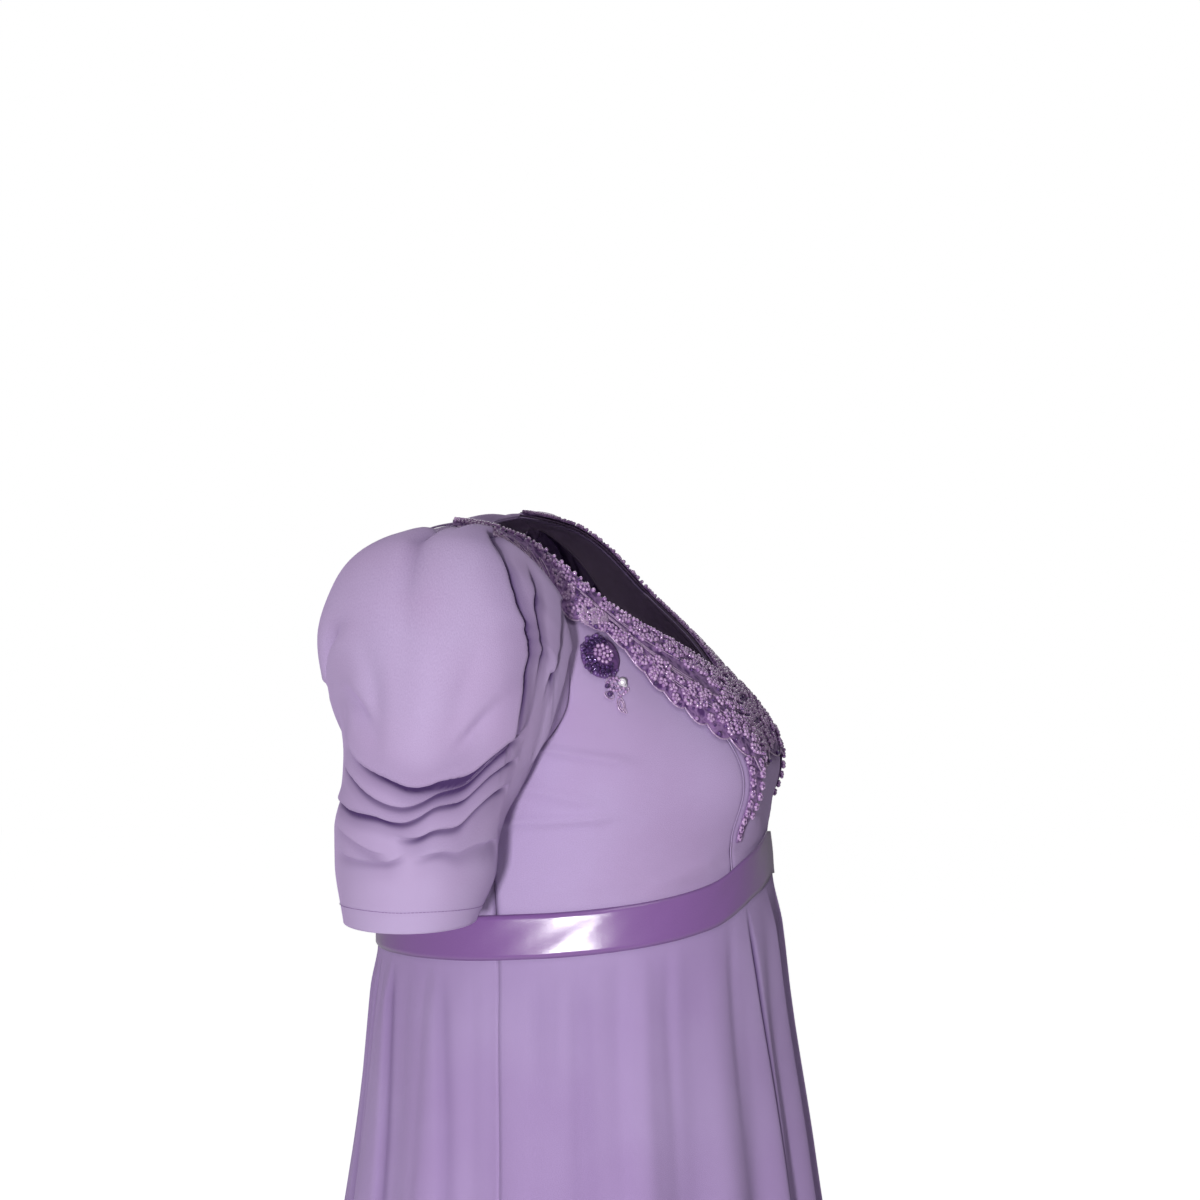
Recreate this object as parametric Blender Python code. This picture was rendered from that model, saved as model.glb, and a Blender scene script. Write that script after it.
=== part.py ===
"""A regency gown, worn shape, hollow: fitted bodice, puffed sleeves, ribbon waist, full skirt.

Metres, +Z up. The front faces -Y and the wearer's right side is at -X. The origin is midway
between the two shoulder straps, at the height of their crests, where the shoulders carry it.
Every panel is cut from one form, gown_point(angle, height): the angle runs in degrees from the
centre front (0) over the wearer's right side (90) to the centre back (180), negative to the left.
"""
import math
from collections import namedtuple

import bmesh
import bpy
from mathutils import Vector

# Cloth, seams and trim.
CLOTH = 0.0018
RIBBON_CLOTH = 0.0012
SEAM = 0.0003
TRIM_GAP = 0.0007
LACE_GAP = 0.0013
LACE_GAP_AT_STRAP = 0.0022
ARMHOLE_GAP = 0.0021
RIBBON_WIDTH = 0.030
LACE_CLOTH = 0.0014
LACE_BEAD = 0.0013
TAIL_END = -0.2195
TAIL_INSIDE = 1.5
TAIL_WIDTH_TOP = 9.0
TAIL_WIDTH_END = 2.5
TAIL_BELOW_LACE = 0.0021
LACE_AT_STRAP = 88
LACE_AT_MIDDLE = 0.12
LACE_PACE = 0.8
ROSETTE_RADIUS = 0.0150
ROSETTE_RISE = 0.0045
ROSETTE_RIM = 0.0015
ROSETTE_SCALLOP = 0.07
ROSETTE_BED_RADIUS = 0.12

# Lengths below the strap crests.
BUST_DROP = 0.172
UNDERARM_DROP = 0.165
NECK_DROP = 0.110
BACK_NECK_DROP = 0.045
GOWN_LENGTH = 1.430

# Cut lines, as angles on the form, and the turn that leaves a seam's gap at the waist's radius.
WAIST_RADIUS = 0.14
SEAM_TURN = math.degrees(SEAM / WAIST_RADIUS)
PRINCESS_AT_WAIST = 29
PRINCESS_AT_NECK = 30
SIDE_SEAM = 98
CENTRE_BACK = 180

# How far up its edge each panel turns its corner at the neck or under the arm.
SIDE_PANEL_CORNER = 0.66
BACK_PANEL_CORNER = 0.56
UNDERARM_CORNER = 0.38

# The cups that the princess seams shape.
CUP_ANGLE = 27
CUP_SPREAD = 17
CUP_RISE = 0.012
CUP_HEIGHT = 0.040

# How finely each panel is divided, across and along.
BODICE_FRONT_CELLS = (8, 10)
BODICE_SIDE_CELLS = (12, 20)
BODICE_BACK_CELLS = (8, 15)
SLEEVE_CELLS = (28, 25)
SKIRT_COLUMNS = 46
RIBBON_CELLS = (80, 2)
LACE_CELLS = (34, 5)
TAIL_CELLS = (2, 10)

# Horizontal sections of the whole gown. middle is the y of its widest line, front and back are
# depths from there, and roundness is the power of the curve: below 1 it is squarer than an ellipse.
Section = namedtuple("Section", "height half_width middle front back roundness")
GOWN_SECTIONS = (
    Section(0.000, 0.112, 0.000, 0.018, 0.016, 0.87),
    Section(-0.005, 0.135, -0.002, 0.040, 0.030, 0.87),
    Section(-0.012, 0.152, -0.004, 0.058, 0.042, 0.87),
    Section(-0.030, 0.159, -0.008, 0.080, 0.060, 0.87),
    Section(-0.060, 0.157, -0.020, 0.097, 0.084, 0.87),
    Section(-0.100, 0.151, -0.036, 0.122, 0.108, 0.86),
    Section(-0.140, 0.146, -0.050, 0.140, 0.126, 0.85),
    Section(-0.178, 0.144, -0.056, 0.148, 0.134, 0.85),
    Section(-0.215, 0.140, -0.058, 0.143, 0.135, 0.86),
    Section(-0.250, 0.138, -0.059, 0.146, 0.135, 0.87),
    Section(-0.290, 0.143, -0.061, 0.149, 0.136, 0.90),
    Section(-0.340, 0.157, -0.064, 0.151, 0.143, 0.92),
    Section(-0.454, 0.190, -0.072, 0.158, 0.162, 0.96),
    Section(-0.700, 0.240, -0.078, 0.182, 0.200, 0.98),
    Section(-1.000, 0.285, -0.075, 0.207, 0.235, 1.00),
    Section(-GOWN_LENGTH, 0.330, -0.070, 0.238, 0.275, 1.00),
)

# The waist seam, under the middle of the ribbon: it rises over the front.
Edge = namedtuple("Edge", "angle height")
WAIST = (
    Edge(0, -0.236),
    Edge(20, -0.245),
    Edge(40, -0.260),
    Edge(70, -0.271),
    Edge(110, -0.280),
    Edge(180, -0.286),
)
NECKLINE = (
    Edge(0, -NECK_DROP),
    Edge(6, -0.096),
    Edge(20, -0.074),
    Edge(30, -0.055),
    Edge(36, -0.033),
    Edge(42, -0.012),
    Edge(55, -0.003),
    Edge(90, 0.000),
)
BACK_NECKLINE = (
    Edge(90, 0.000),
    Edge(125, -0.003),
    Edge(138, -0.012),
    Edge(150, -0.030),
    Edge(165, -0.042),
    Edge(180, -BACK_NECK_DROP),
)
# The lace's lower edge and the places along the neckline that it lies below.
LaceEdge = namedtuple("LaceEdge", "along angle height")
LACE_LOWER = (
    LaceEdge(0.00, 86.0, -0.0035),
    LaceEdge(0.16, 58.0, -0.012),
    LaceEdge(0.30, 53.0, -0.032),
    LaceEdge(0.42, 55.0, -0.056),
    LaceEdge(0.54, 43.5, -0.076),
    LaceEdge(0.66, 42.0, -0.108),
    LaceEdge(0.76, 37.0, -0.131),
    LaceEdge(0.86, 28.0, -0.153),
    LaceEdge(0.93, 18.0, -0.169),
    LaceEdge(1.00, 0.0, -0.164),
)
# The armhole, once round from the underarm over the front to the strap and down the back.
ArmholePoint = namedtuple("ArmholePoint", "around angle height")
ARMHOLE = (
    ArmholePoint(-90, SIDE_SEAM, -UNDERARM_DROP),
    ArmholePoint(-45, 81, -0.136),
    ArmholePoint(0, 70, -0.095),
    ArmholePoint(45, 71, -0.045),
    ArmholePoint(90, 90, -0.010),
    ArmholePoint(135, 112, -0.040),
    ArmholePoint(180, 118, -0.090),
    ArmholePoint(225, 110, -0.138),
    ArmholePoint(270, SIDE_SEAM, -UNDERARM_DROP),
)
ARMHOLE_MIDDLE = (90, -0.090)
# Sections of the sleeve from armhole to hem: its outer and inner lines and its front and back.
SleeveSection = namedtuple("SleeveSection", "along outer_x outer_z inner_x inner_z front_y back_y")
SLEEVE_SECTIONS = (
    SleeveSection(0.00, -0.151, -0.009, -0.1460, -0.1655, -0.094, 0.022),
    SleeveSection(0.12, -0.180, 0.001, -0.1490, -0.171, -0.090, 0.041),
    SleeveSection(0.25, -0.212, -0.006, -0.1510, -0.177, -0.087, 0.058),
    SleeveSection(0.38, -0.238, -0.036, -0.1525, -0.183, -0.082, 0.062),
    SleeveSection(0.50, -0.251, -0.078, -0.1540, -0.190, -0.075, 0.053),
    SleeveSection(0.60, -0.255, -0.116, -0.1550, -0.198, -0.066, 0.050),
    SleeveSection(0.70, -0.256, -0.150, -0.1560, -0.207, -0.057, 0.051),
    SleeveSection(0.80, -0.255, -0.182, -0.1575, -0.219, -0.0515, 0.056),
    SleeveSection(0.88, -0.253, -0.210, -0.1590, -0.231, -0.050, 0.056),
    SleeveSection(1.00, -0.2495, -0.258, -0.1610, -0.254, -0.0365, 0.0505),
)
# The puff is squarer over its back than an ellipse, down to this place along it.
PUFF_SQUARENESS = 0.72
PUFF_SQUARE_ALONG = 0.55
# The wearer's left arm hangs further back, and its sleeve with it.
LEFT_SLEEVE_BACK = 0.045
# Swags drawn up to the front and back of the sleeve: place down the outer side, depth, reach.
Swag = namedtuple("Swag", "along rise reach")
SWAGS = (
    Swag(0.735, 0.0055, 0.016),
    Swag(0.780, 0.0070, 0.016),
    Swag(0.825, 0.0065, 0.016),
    Swag(0.870, 0.0055, 0.015),
    Swag(0.915, 0.0035, 0.014),
)
SwagDraw = namedtuple("SwagDraw", "along front back")
SWAG_DRAW = (
    SwagDraw(0.00, 0.00, 0.00),
    SwagDraw(0.40, 0.14, 0.07),
    SwagDraw(0.735, 0.34, 0.21),
    SwagDraw(0.825, 0.29, 0.185),
    SwagDraw(0.915, 0.235, 0.15),
    SwagDraw(1.00, 0.00, 0.00),
)
# How the sleeve's rows are spread: few over the puff, close together over the swags.
RowSpread = namedtuple("RowSpread", "share down")
SLEEVE_ROWS = (RowSpread(0.00, 0.0), RowSpread(0.24, 0.690), RowSpread(0.92, 0.945), RowSpread(1.00, 1.0))
# Upright folds on the sleeve's front edge, as angles round it.
SleevePleat = namedtuple("SleevePleat", "around rise reach")
SLEEVE_PLEATS = (
    SleevePleat(24, -0.0045, 10),
    SleevePleat(4, 0.0035, 9),
    SleevePleat(-16, -0.0045, 10),
)
BACK_LOBE_RISE = 0.012
BACK_LOBE_ALONG = 0.22
BACK_LOBE_REACH = 0.13

# Folds of the skirt on one half, mirrored to the other: angle, depth at the hem, reach in degrees.
SkirtFold = namedtuple("SkirtFold", "angle rise reach")
SKIRT_FOLDS = (
    SkirtFold(4, 0.012, 4.0),
    SkirtFold(12, -0.012, 3.5),
    SkirtFold(20, 0.015, 4.0),
    SkirtFold(29, -0.013, 4.5),
    SkirtFold(40, 0.014, 5.5),
    SkirtFold(53, -0.012, 5.5),
    SkirtFold(65, 0.016, 6.0),
    SkirtFold(79, -0.013, 6.0),
    SkirtFold(92, 0.013, 6.0),
    SkirtFold(106, -0.013, 6.0),
    SkirtFold(119, 0.016, 6.0),
    SkirtFold(133, -0.014, 5.5),
    SkirtFold(146, 0.016, 5.5),
    SkirtFold(159, -0.015, 5.0),
    SkirtFold(172, 0.014, 4.5),
)
FOLDS_START = 0.018
FOLDS_FULL = 0.500
# Rows of the skirt, as drops below its waist seam, closer at the top where the folds begin.
SKIRT_DROPS = (0.000, 0.018, 0.045, 0.100, 0.190, 0.330, 0.540, 0.820, 1.150)

# The rosette's place on the form, and its petals.
ROSETTE_ANGLE = 53.5
ROSETTE_HEIGHT = -0.0885
ROSETTE_PETALS = 8
ROSETTE_RINGS = 4


def read(table, where, value, column):
    """A column's value at a place along a table, on a smooth curve that never overshoots its rows."""
    places = [getattr(row, where) for row in table]
    values = [getattr(row, column) for row in table]
    if places[0] > places[-1]:
        places.reverse()
        values.reverse()
    value = min(max(value, places[0]), places[-1])
    i = max(j for j in range(len(places) - 1) if places[j] <= value or j == 0)
    slopes = [(values[j + 1] - values[j]) / (places[j + 1] - places[j]) for j in range(len(places) - 1)]

    def tangent(j):
        if j in (0, len(places) - 1):
            return slopes[0] if j == 0 else slopes[-1]
        before, after = slopes[j - 1], slopes[j]
        return 0.0 if before * after <= 0 else 2 * before * after / (before + after)

    span = places[i + 1] - places[i]
    s = (value - places[i]) / span
    start, end = tangent(i) * span, tangent(i + 1) * span
    rise = values[i + 1] - values[i]
    return values[i] + s * (start + s * (3 * rise - 2 * start - end + s * (start + end - 2 * rise)))


def mix(a, b, share):
    return a + (b - a) * share


def ease(low, high, value):
    """0 below low, 1 above high, and a soft step between."""
    s = min(max((value - low) / (high - low), 0.0), 1.0)
    return s * s * (3 - 2 * s)


def bell(distance):
    return math.exp(-distance * distance)


def from_front(angle):
    """Degrees from the centre front, the same on both sides of the gown."""
    return abs((angle + 180) % 360 - 180)


def facing(surface, a, b, step):
    """The outward direction of a surface of two values, a running to the right hand and b upwards."""
    along_a = surface(a + step[0], b) - surface(a - step[0], b)
    along_b = surface(a, b + step[1]) - surface(a, b - step[1])
    return along_b.cross(along_a).normalized()


# ------------------------------------------------------------------ the gown's form


def gown_section(angle, height):
    """A point on the horizontal section at this height, before the cups and folds."""
    turn = math.radians(angle)
    power = read(GOWN_SECTIONS, "height", height, "roundness")
    depth = read(GOWN_SECTIONS, "height", height, "front" if math.cos(turn) > 0 else "back")
    half_width = read(GOWN_SECTIONS, "height", height, "half_width")
    x = -half_width * math.copysign(abs(math.sin(turn)) ** power, math.sin(turn))
    y = -depth * math.copysign(abs(math.cos(turn)) ** power, math.cos(turn))
    return Vector((x, read(GOWN_SECTIONS, "height", height, "middle") + y, height))


def outward(angle, height):
    """The form's outward direction. At the strap crests it is read just below them."""
    height = min(height, -0.002)
    return facing(gown_section, angle, height, (1.0, 0.0015))


def gown_point(angle, height, out=0.0):
    """A point of the form, moved out of its surface."""
    cup = CUP_RISE * bell((from_front(angle) - CUP_ANGLE) / CUP_SPREAD) * bell((height + BUST_DROP) / CUP_HEIGHT)
    return gown_section(angle, height) + outward(angle, height) * (out + cup)


def waist(angle):
    return read(WAIST, "angle", from_front(angle), "height")


# ------------------------------------------------------------------ making a body of cloth


def fresh_sheet(columns, rows):
    """A flat block: x and y run 0 to 1 over the sheet, z is 0 on its inside and 1 on its outside."""
    bm = bmesh.new()
    bmesh.ops.create_grid(bm, x_segments=columns, y_segments=rows, size=0.5)
    bmesh.ops.translate(bm, verts=bm.verts, vec=(0.5, 0.5, 0.0))
    raised = bmesh.ops.extrude_face_region(bm, geom=bm.faces[:])["geom"]
    outside = [part for part in raised if isinstance(part, bmesh.types.BMVert)]
    bmesh.ops.translate(bm, verts=outside, vec=(0.0, 0.0, 1.0))
    return bm


def place_sheet(bm, place):
    for vert in bm.verts:
        vert.co = place(vert.co.x, vert.co.y, vert.co.z)


def fresh_tube(columns, rows):
    """A thick-walled tube by a full spin of its wall: radius 1 inside and 2 outside, z from 0 to 1."""
    bm = bmesh.new()
    inside = [bm.verts.new((1.0, 0.0, row / rows)) for row in range(rows + 1)]
    outside = [bm.verts.new((2.0, 0.0, row / rows)) for row in range(rows + 1)]
    wall = inside + outside[::-1]
    edges = [bm.edges.new((wall[i - 1], wall[i])) for i in range(len(wall))]
    bmesh.ops.spin(bm, geom=wall + edges, cent=(0, 0, 0), axis=(0, 0, 1), angle=math.tau, steps=columns,
                   use_merge=True)
    return bm


def place_tube(bm, place):
    """Each point goes to place(turn, along, side): turn 0 to 1 round, along 0 to 1, side 0 in, 1 out."""
    for vert in bm.verts:
        turn = math.atan2(vert.co.y, vert.co.x) / math.tau % 1.0
        vert.co = place(turn, vert.co.z, math.hypot(vert.co.x, vert.co.y) - 1.0)


def finish(bm, name, material):
    bmesh.ops.recalc_face_normals(bm, faces=bm.faces)
    if bm.calc_volume(signed=True) < 0:
        bmesh.ops.reverse_faces(bm, faces=bm.faces)
    mesh = bpy.data.meshes.new(name)
    bm.to_mesh(mesh)
    bm.free()
    mesh.shade_smooth()
    mesh.set_sharp_from_angle(angle=math.radians(50))
    mesh.materials.append(material)
    piece = bpy.data.objects.new(name, mesh)
    bpy.context.scene.collection.objects.link(piece)
    return piece


def mirrored(piece, name):
    """The same piece for the wearer's left side."""
    bm = bmesh.new()
    bm.from_mesh(piece.data)
    bmesh.ops.scale(bm, verts=bm.verts, vec=(-1.0, 1.0, 1.0))
    return finish(bm, name, piece.data.materials[0])


def dyed(name, colour, roughness, metallic=0.0):
    material = bpy.data.materials.new(name)
    material.use_nodes = True
    surface = material.node_tree.nodes["Principled BSDF"]
    surface.inputs["Base Color"].default_value = (*colour, 1.0)
    surface.inputs["Roughness"].default_value = roughness
    surface.inputs["Metallic"].default_value = metallic
    return material


# ------------------------------------------------------------------ bodice


def princess(share):
    """The princess seam from the waist (0) to the neckline (1), as angle and height."""
    angle = mix(PRINCESS_AT_WAIST, PRINCESS_AT_NECK, share)
    low, high = waist(PRINCESS_AT_WAIST), read(NECKLINE, "angle", PRINCESS_AT_NECK, "height")
    return angle, mix(low, high, share)


def side_seam(share):
    return SIDE_SEAM, mix(waist(SIDE_SEAM), -UNDERARM_DROP, share)


def armhole(around):
    angle = read(ARMHOLE, "around", around, "angle")
    return angle, read(ARMHOLE, "around", around, "height")


def edge_of_two(share, change, first, second):
    """An edge in two lengths that meet at change, each given as a function of 0 to 1."""
    if share <= change:
        return first(share / change)
    return second((share - change) / (1 - change))


def panel_wall(inner_edge, outer_edge):
    """Places a panel between two edges, each kept half a seam's gap inside its line."""

    def place(u, v, side):
        start, end = inner_edge(v), outer_edge(v)
        low, high = gown_point(*start), gown_point(*end)
        trim = SEAM / max((high - low).length, 0.004)
        share = mix(trim, 1 - trim, u)
        angle, height = mix(start[0], end[0], share), mix(start[1], end[1], share)
        if v == 0.0:
            height += SEAM
        return gown_point(angle, height, -CLOTH * (1 - side))

    return place


def bodice_front(material):
    """The plain panel between the princess seams, up to the point of the neckline."""

    def place(u, v, side):
        share = 2 * u - 1
        bottom = share * PRINCESS_AT_WAIST
        top = share * PRINCESS_AT_NECK
        low, high = waist(bottom) + SEAM, read(NECKLINE, "angle", abs(top), "height")
        angle = mix(bottom, top, v) - share * SEAM_TURN
        return gown_point(angle, mix(low, high, v), -CLOTH * (1 - side))

    bm = fresh_sheet(*BODICE_FRONT_CELLS)
    place_sheet(bm, place)
    return finish(bm, "bodice_front", material)


def bodice_side(material):
    """From the princess seam to the side seam, with the front half of the shoulder strap."""

    def neck_to_strap(share):
        angle = mix(PRINCESS_AT_NECK, 90, share)
        return angle, read(NECKLINE, "angle", angle, "height")

    def front_armhole(share):
        return armhole(mix(-90, 90, share))

    def inner(v):
        return edge_of_two(v, SIDE_PANEL_CORNER, princess, neck_to_strap)

    def outer(v):
        return edge_of_two(v, UNDERARM_CORNER, side_seam, front_armhole)

    wall = panel_wall(inner, outer)

    def place(u, v, side):
        point = wall(u, v, side)
        if v == 1.0:
            point.y -= SEAM / 2
        return point

    bm = fresh_sheet(*BODICE_SIDE_CELLS)
    place_sheet(bm, place)
    return finish(bm, "bodice_side_right", material)


def bodice_back(material):
    """Half of the back, from the centre-back opening to the side seam, with its half of the strap."""

    def centre_back(share):
        return CENTRE_BACK, mix(waist(CENTRE_BACK), -BACK_NECK_DROP, share)

    def neck_to_strap(share):
        angle = mix(CENTRE_BACK, 90, share)
        return angle, read(BACK_NECKLINE, "angle", angle, "height")

    def back_armhole(share):
        return armhole(mix(270, 90, share))

    def inner(v):
        return edge_of_two(v, BACK_PANEL_CORNER, centre_back, neck_to_strap)

    def outer(v):
        return edge_of_two(v, UNDERARM_CORNER, side_seam, back_armhole)

    wall = panel_wall(outer, inner)

    def place(u, v, side):
        point = wall(u, v, side)
        if v == 1.0:
            point.y += SEAM / 2
        if u == 1.0 and v <= BACK_PANEL_CORNER:
            point.x = -SEAM / 2
        return point

    bm = fresh_sheet(*BODICE_BACK_CELLS)
    place_sheet(bm, place)
    return finish(bm, "bodice_back_right", material)


# ------------------------------------------------------------------ sleeves


def sleeve_turn(turn):
    """Degrees round the sleeve, closer together at its folded front: 0 front, 90 outside, 180 back."""
    return math.degrees(math.tau * turn - 0.42 * math.sin(math.tau * turn))


def sleeve_surface(around, down, back):
    """A point of the sleeve's cloth, with its swags, upright folds and back lobe, moved back."""
    turn = math.radians(around)
    outside = ease(-0.75, 0.25, math.sin(turn))
    column = "front" if math.cos(turn) > 0 else "back"
    drawn = read(SWAG_DRAW, "along", down, column) * math.cos(turn) ** 2 * outside
    along = down - drawn

    def at(name):
        moved = back * ease(0.0, 0.22, along) if name.endswith("_y") else 0.0
        return read(SLEEVE_SECTIONS, "along", along, name) + moved

    power = 1.0
    if math.cos(turn) < 0 < math.sin(turn):
        power = mix(PUFF_SQUARENESS, 1.0, ease(0.2, PUFF_SQUARE_ALONG, along))
    reach = (1 + math.copysign(abs(math.sin(turn)) ** power, math.sin(turn))) / 2
    behind = (1 - math.copysign(abs(math.cos(turn)) ** power, math.cos(turn))) / 2
    y = mix(at("front_y"), at("back_y"), behind)
    point = Vector((mix(at("inner_x"), at("outer_x"), reach), y, mix(at("inner_z"), at("outer_z"), reach)))

    middle = Vector((mix(at("inner_x"), at("outer_x"), 0.5), mix(at("front_y"), at("back_y"), 0.5),
                     mix(at("inner_z"), at("outer_z"), 0.5)))
    away = (point - middle).normalized()
    swag = sum(fold.rise * bell((down - fold.along) / fold.reach) for fold in SWAGS) * outside
    upright = sum(fold.rise * bell(((around + 180) % 360 - 180 - fold.around) / fold.reach)
                  for fold in SLEEVE_PLEATS)
    upright *= ease(0.02, 0.20, down) * (1 - ease(0.66, 0.80, down))
    lobe = BACK_LOBE_RISE * bell((along - BACK_LOBE_ALONG) / BACK_LOBE_REACH) * max(-math.cos(turn), 0.0) ** 2
    point += away * (swag + upright + lobe * outside)

    loop_around = (around + 90) % 360 - 90
    seam = gown_point(*armhole(loop_around), ARMHOLE_GAP / 2)
    hole = gown_point(*ARMHOLE_MIDDLE)
    seam += (hole - seam).normalized() * ARMHOLE_GAP
    return seam.lerp(point, ease(0.0, 0.16, down))


def sleeve(name, back, material):
    """The wearer's right sleeve, its hanging part moved back by this much."""

    def surface(turn, down):
        return sleeve_surface(sleeve_turn(turn), down, back)

    def spread(along):
        for low, high in zip(SLEEVE_ROWS, SLEEVE_ROWS[1:]):
            if along <= high.share:
                return mix(low.down, high.down, (along - low.share) / (high.share - low.share))
        return 1.0

    def place(turn, along, side):
        down = spread(along)
        normal = facing(surface, turn, min(max(down, 0.006), 0.994), (0.004, -0.006))
        return surface(turn, down) - normal * CLOTH * (1 - side)

    bm = fresh_tube(*SLEEVE_CELLS)
    place_tube(bm, place)
    return finish(bm, name, material)


# ------------------------------------------------------------------ waist ribbon and skirt


def ribbon(material):
    """A satin band round the waist seam, closed in a ring and lying just clear of the cloth."""

    def place(turn, along, side):
        angle = 360 * turn - 180
        height = waist(angle) + RIBBON_WIDTH * (0.5 - along)
        return gown_point(angle, height, TRIM_GAP + RIBBON_CLOTH * side)

    bm = fresh_tube(*RIBBON_CELLS)
    place_tube(bm, place)
    return finish(bm, "waist_ribbon", material)


def skirt_surface(angle, drop):
    """A point of the skirt this far below its waist seam, the last row of drops being the hem."""
    top = waist(angle) - 1.5 * SEAM
    height = top - drop * (top + GOWN_LENGTH) / SKIRT_DROPS[-1]
    swell = 0.8 * ease(FOLDS_START, FOLDS_FULL, drop) + 0.2 * ease(FOLDS_START, 4 * FOLDS_START, drop)
    folds = sum(fold.rise * bell((from_front(angle) - fold.angle) / fold.reach) for fold in SKIRT_FOLDS)
    return gown_point(angle, height, swell * folds)


def skirt_panel(name, start, end, material):
    """One panel between two angles on the side seams."""
    rows = len(SKIRT_DROPS) - 1

    def place(u, v, side):
        angle = mix(start + SEAM_TURN, end - SEAM_TURN, u)
        drop = SKIRT_DROPS[rows - round(v * rows)]
        normal = facing(skirt_surface, angle, min(max(drop, 0.004), 1.146), (0.6, -0.004))
        return skirt_surface(angle, drop) - normal * CLOTH * (1 - side)

    bm = fresh_sheet(SKIRT_COLUMNS, rows)
    place_sheet(bm, place)
    return finish(bm, name, material)


# ------------------------------------------------------------------ lace and rosettes


def lace_point(along, across_band, out):
    """A point of the neckline lace: along from the strap crest to the centre front, across to its edge."""
    neck_angle = mix(LACE_AT_STRAP, LACE_AT_MIDDLE, along ** LACE_PACE)
    neck_height = read(NECKLINE, "angle", neck_angle, "height")
    low_angle = max(read(LACE_LOWER, "along", along, "angle"), LACE_AT_MIDDLE)
    low_height = read(LACE_LOWER, "along", along, "height")
    angle = mix(neck_angle, low_angle, across_band)
    return gown_point(angle, mix(neck_height, low_height, across_band), out)


def lace(material):
    """The beaded lace along one side of the neckline, its beads raised over a plain underside."""
    columns, rows = LACE_CELLS

    def place(u, v, side):
        column, row = round(u * columns), round(v * rows)
        inner_cell = 0 < column < columns and 0 < row < rows
        bead = LACE_BEAD if inner_cell and (column + row) % 2 == 0 else 0.0
        gap = mix(LACE_GAP_AT_STRAP, LACE_GAP, ease(0.38, 0.65, u))
        return lace_point(u, v, gap + side * (LACE_CLOTH + bead))

    bm = fresh_sheet(columns, rows)
    place_sheet(bm, place)
    return finish(bm, "lace_right", material)


def lace_tail(material):
    """The tapering tail of beads that runs down inside the princess seam."""
    columns, rows = TAIL_CELLS

    def place(u, v, side):
        down = 1 - v
        height = mix(LACE_LOWER[-2].height, TAIL_END, down)
        share = (height - waist(PRINCESS_AT_WAIST)) / (princess(1)[1] - waist(PRINCESS_AT_WAIST))
        angle = princess(share)[0] - TAIL_INSIDE - u * mix(TAIL_WIDTH_TOP, TAIL_WIDTH_END, down)
        if v == 1.0:
            height = read(LACE_LOWER[-4:], "angle", angle, "height") - TAIL_BELOW_LACE
        bead = LACE_BEAD if u == 0.5 and round(v * rows) % 2 else 0.0
        return gown_point(angle, height, TRIM_GAP + side * (LACE_CLOTH + bead))

    bm = fresh_sheet(columns, rows)
    place_sheet(bm, place)
    return finish(bm, "lace_tail_right", material)


def rosette(material):
    """A domed flower of cloth and beads, flat below, laid on the panel under the lace."""
    centre = gown_point(ROSETTE_ANGLE, ROSETTE_HEIGHT, 4 * SEAM)
    turn = outward(ROSETTE_ANGLE, ROSETTE_HEIGHT).to_track_quat("Z", "Y").to_matrix()
    bm = bmesh.new()
    bmesh.ops.create_circle(bm, cap_ends=True, segments=3 * ROSETTE_PETALS, radius=ROSETTE_RADIUS)
    raised = bmesh.ops.extrude_face_region(bm, geom=bm.faces[:])["geom"]
    face = [part for part in raised if isinstance(part, bmesh.types.BMFace)]
    rim = [part for part in raised if isinstance(part, bmesh.types.BMVert)]
    bmesh.ops.translate(bm, verts=rim, vec=(0, 0, ROSETTE_RIM))
    for ring in range(1, ROSETTE_RINGS):
        rise = ROSETTE_RISE * (1.2 - 0.3 * ring) / ROSETTE_RINGS
        bmesh.ops.inset_region(bm, faces=face, thickness=ROSETTE_RADIUS / ROSETTE_RINGS, depth=rise)
    for vert in bm.verts:
        edge = math.hypot(vert.co.x, vert.co.y) / ROSETTE_RADIUS
        wave = 1 + ROSETTE_SCALLOP * math.cos(ROSETTE_PETALS * math.atan2(vert.co.y, vert.co.x)) * edge
        bend = (edge * ROSETTE_RADIUS) ** 2 / (2 * ROSETTE_BED_RADIUS)
        vert.co = centre + turn @ Vector((vert.co.x * wave, vert.co.y * wave, vert.co.z - bend))
    return finish(bm, "rosette_right", material)


# ------------------------------------------------------------------ the gown

for leftover in list(bpy.data.objects):
    bpy.data.objects.remove(leftover)

chiffon = dyed("lilac_chiffon", (0.50, 0.37, 0.63), 0.85)
satin = dyed("purple_satin", (0.24, 0.10, 0.34), 0.30)
beadwork = dyed("beaded_lace", (0.42, 0.27, 0.48), 0.45)
dark_beadwork = dyed("dark_rosette", (0.10, 0.03, 0.16), 0.35)

bodice_front(chiffon)
mirrored(bodice_side(chiffon), "bodice_side_left")
mirrored(bodice_back(chiffon), "bodice_back_left")
sleeve("sleeve_right", 0.0, chiffon)
left_sleeve = sleeve("left_pattern", LEFT_SLEEVE_BACK, chiffon)
mirrored(left_sleeve, "sleeve_left")
bpy.data.objects.remove(left_sleeve)
ribbon(satin)
skirt_panel("skirt_front", -SIDE_SEAM, SIDE_SEAM, chiffon)
skirt_panel("skirt_back", SIDE_SEAM, 360 - SIDE_SEAM, chiffon)
mirrored(lace(beadwork), "lace_left")
mirrored(lace_tail(beadwork), "lace_tail_left")
mirrored(rosette(dark_beadwork), "rosette_left")
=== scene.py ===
"""A regency gown in lilac chiffon, worn shape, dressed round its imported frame.

Metres, +Z up. The front faces -Y and the wearer's right side is at -X. The sections follow the gown as it
is made up: the form it is cut on, bodice, sleeves, skirt, ribbon, and then the lace, beads and stitching.
"""

import math
import random
from collections import namedtuple

import bmesh
import bpy
import numpy as np
from mathutils import Matrix, Vector


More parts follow.
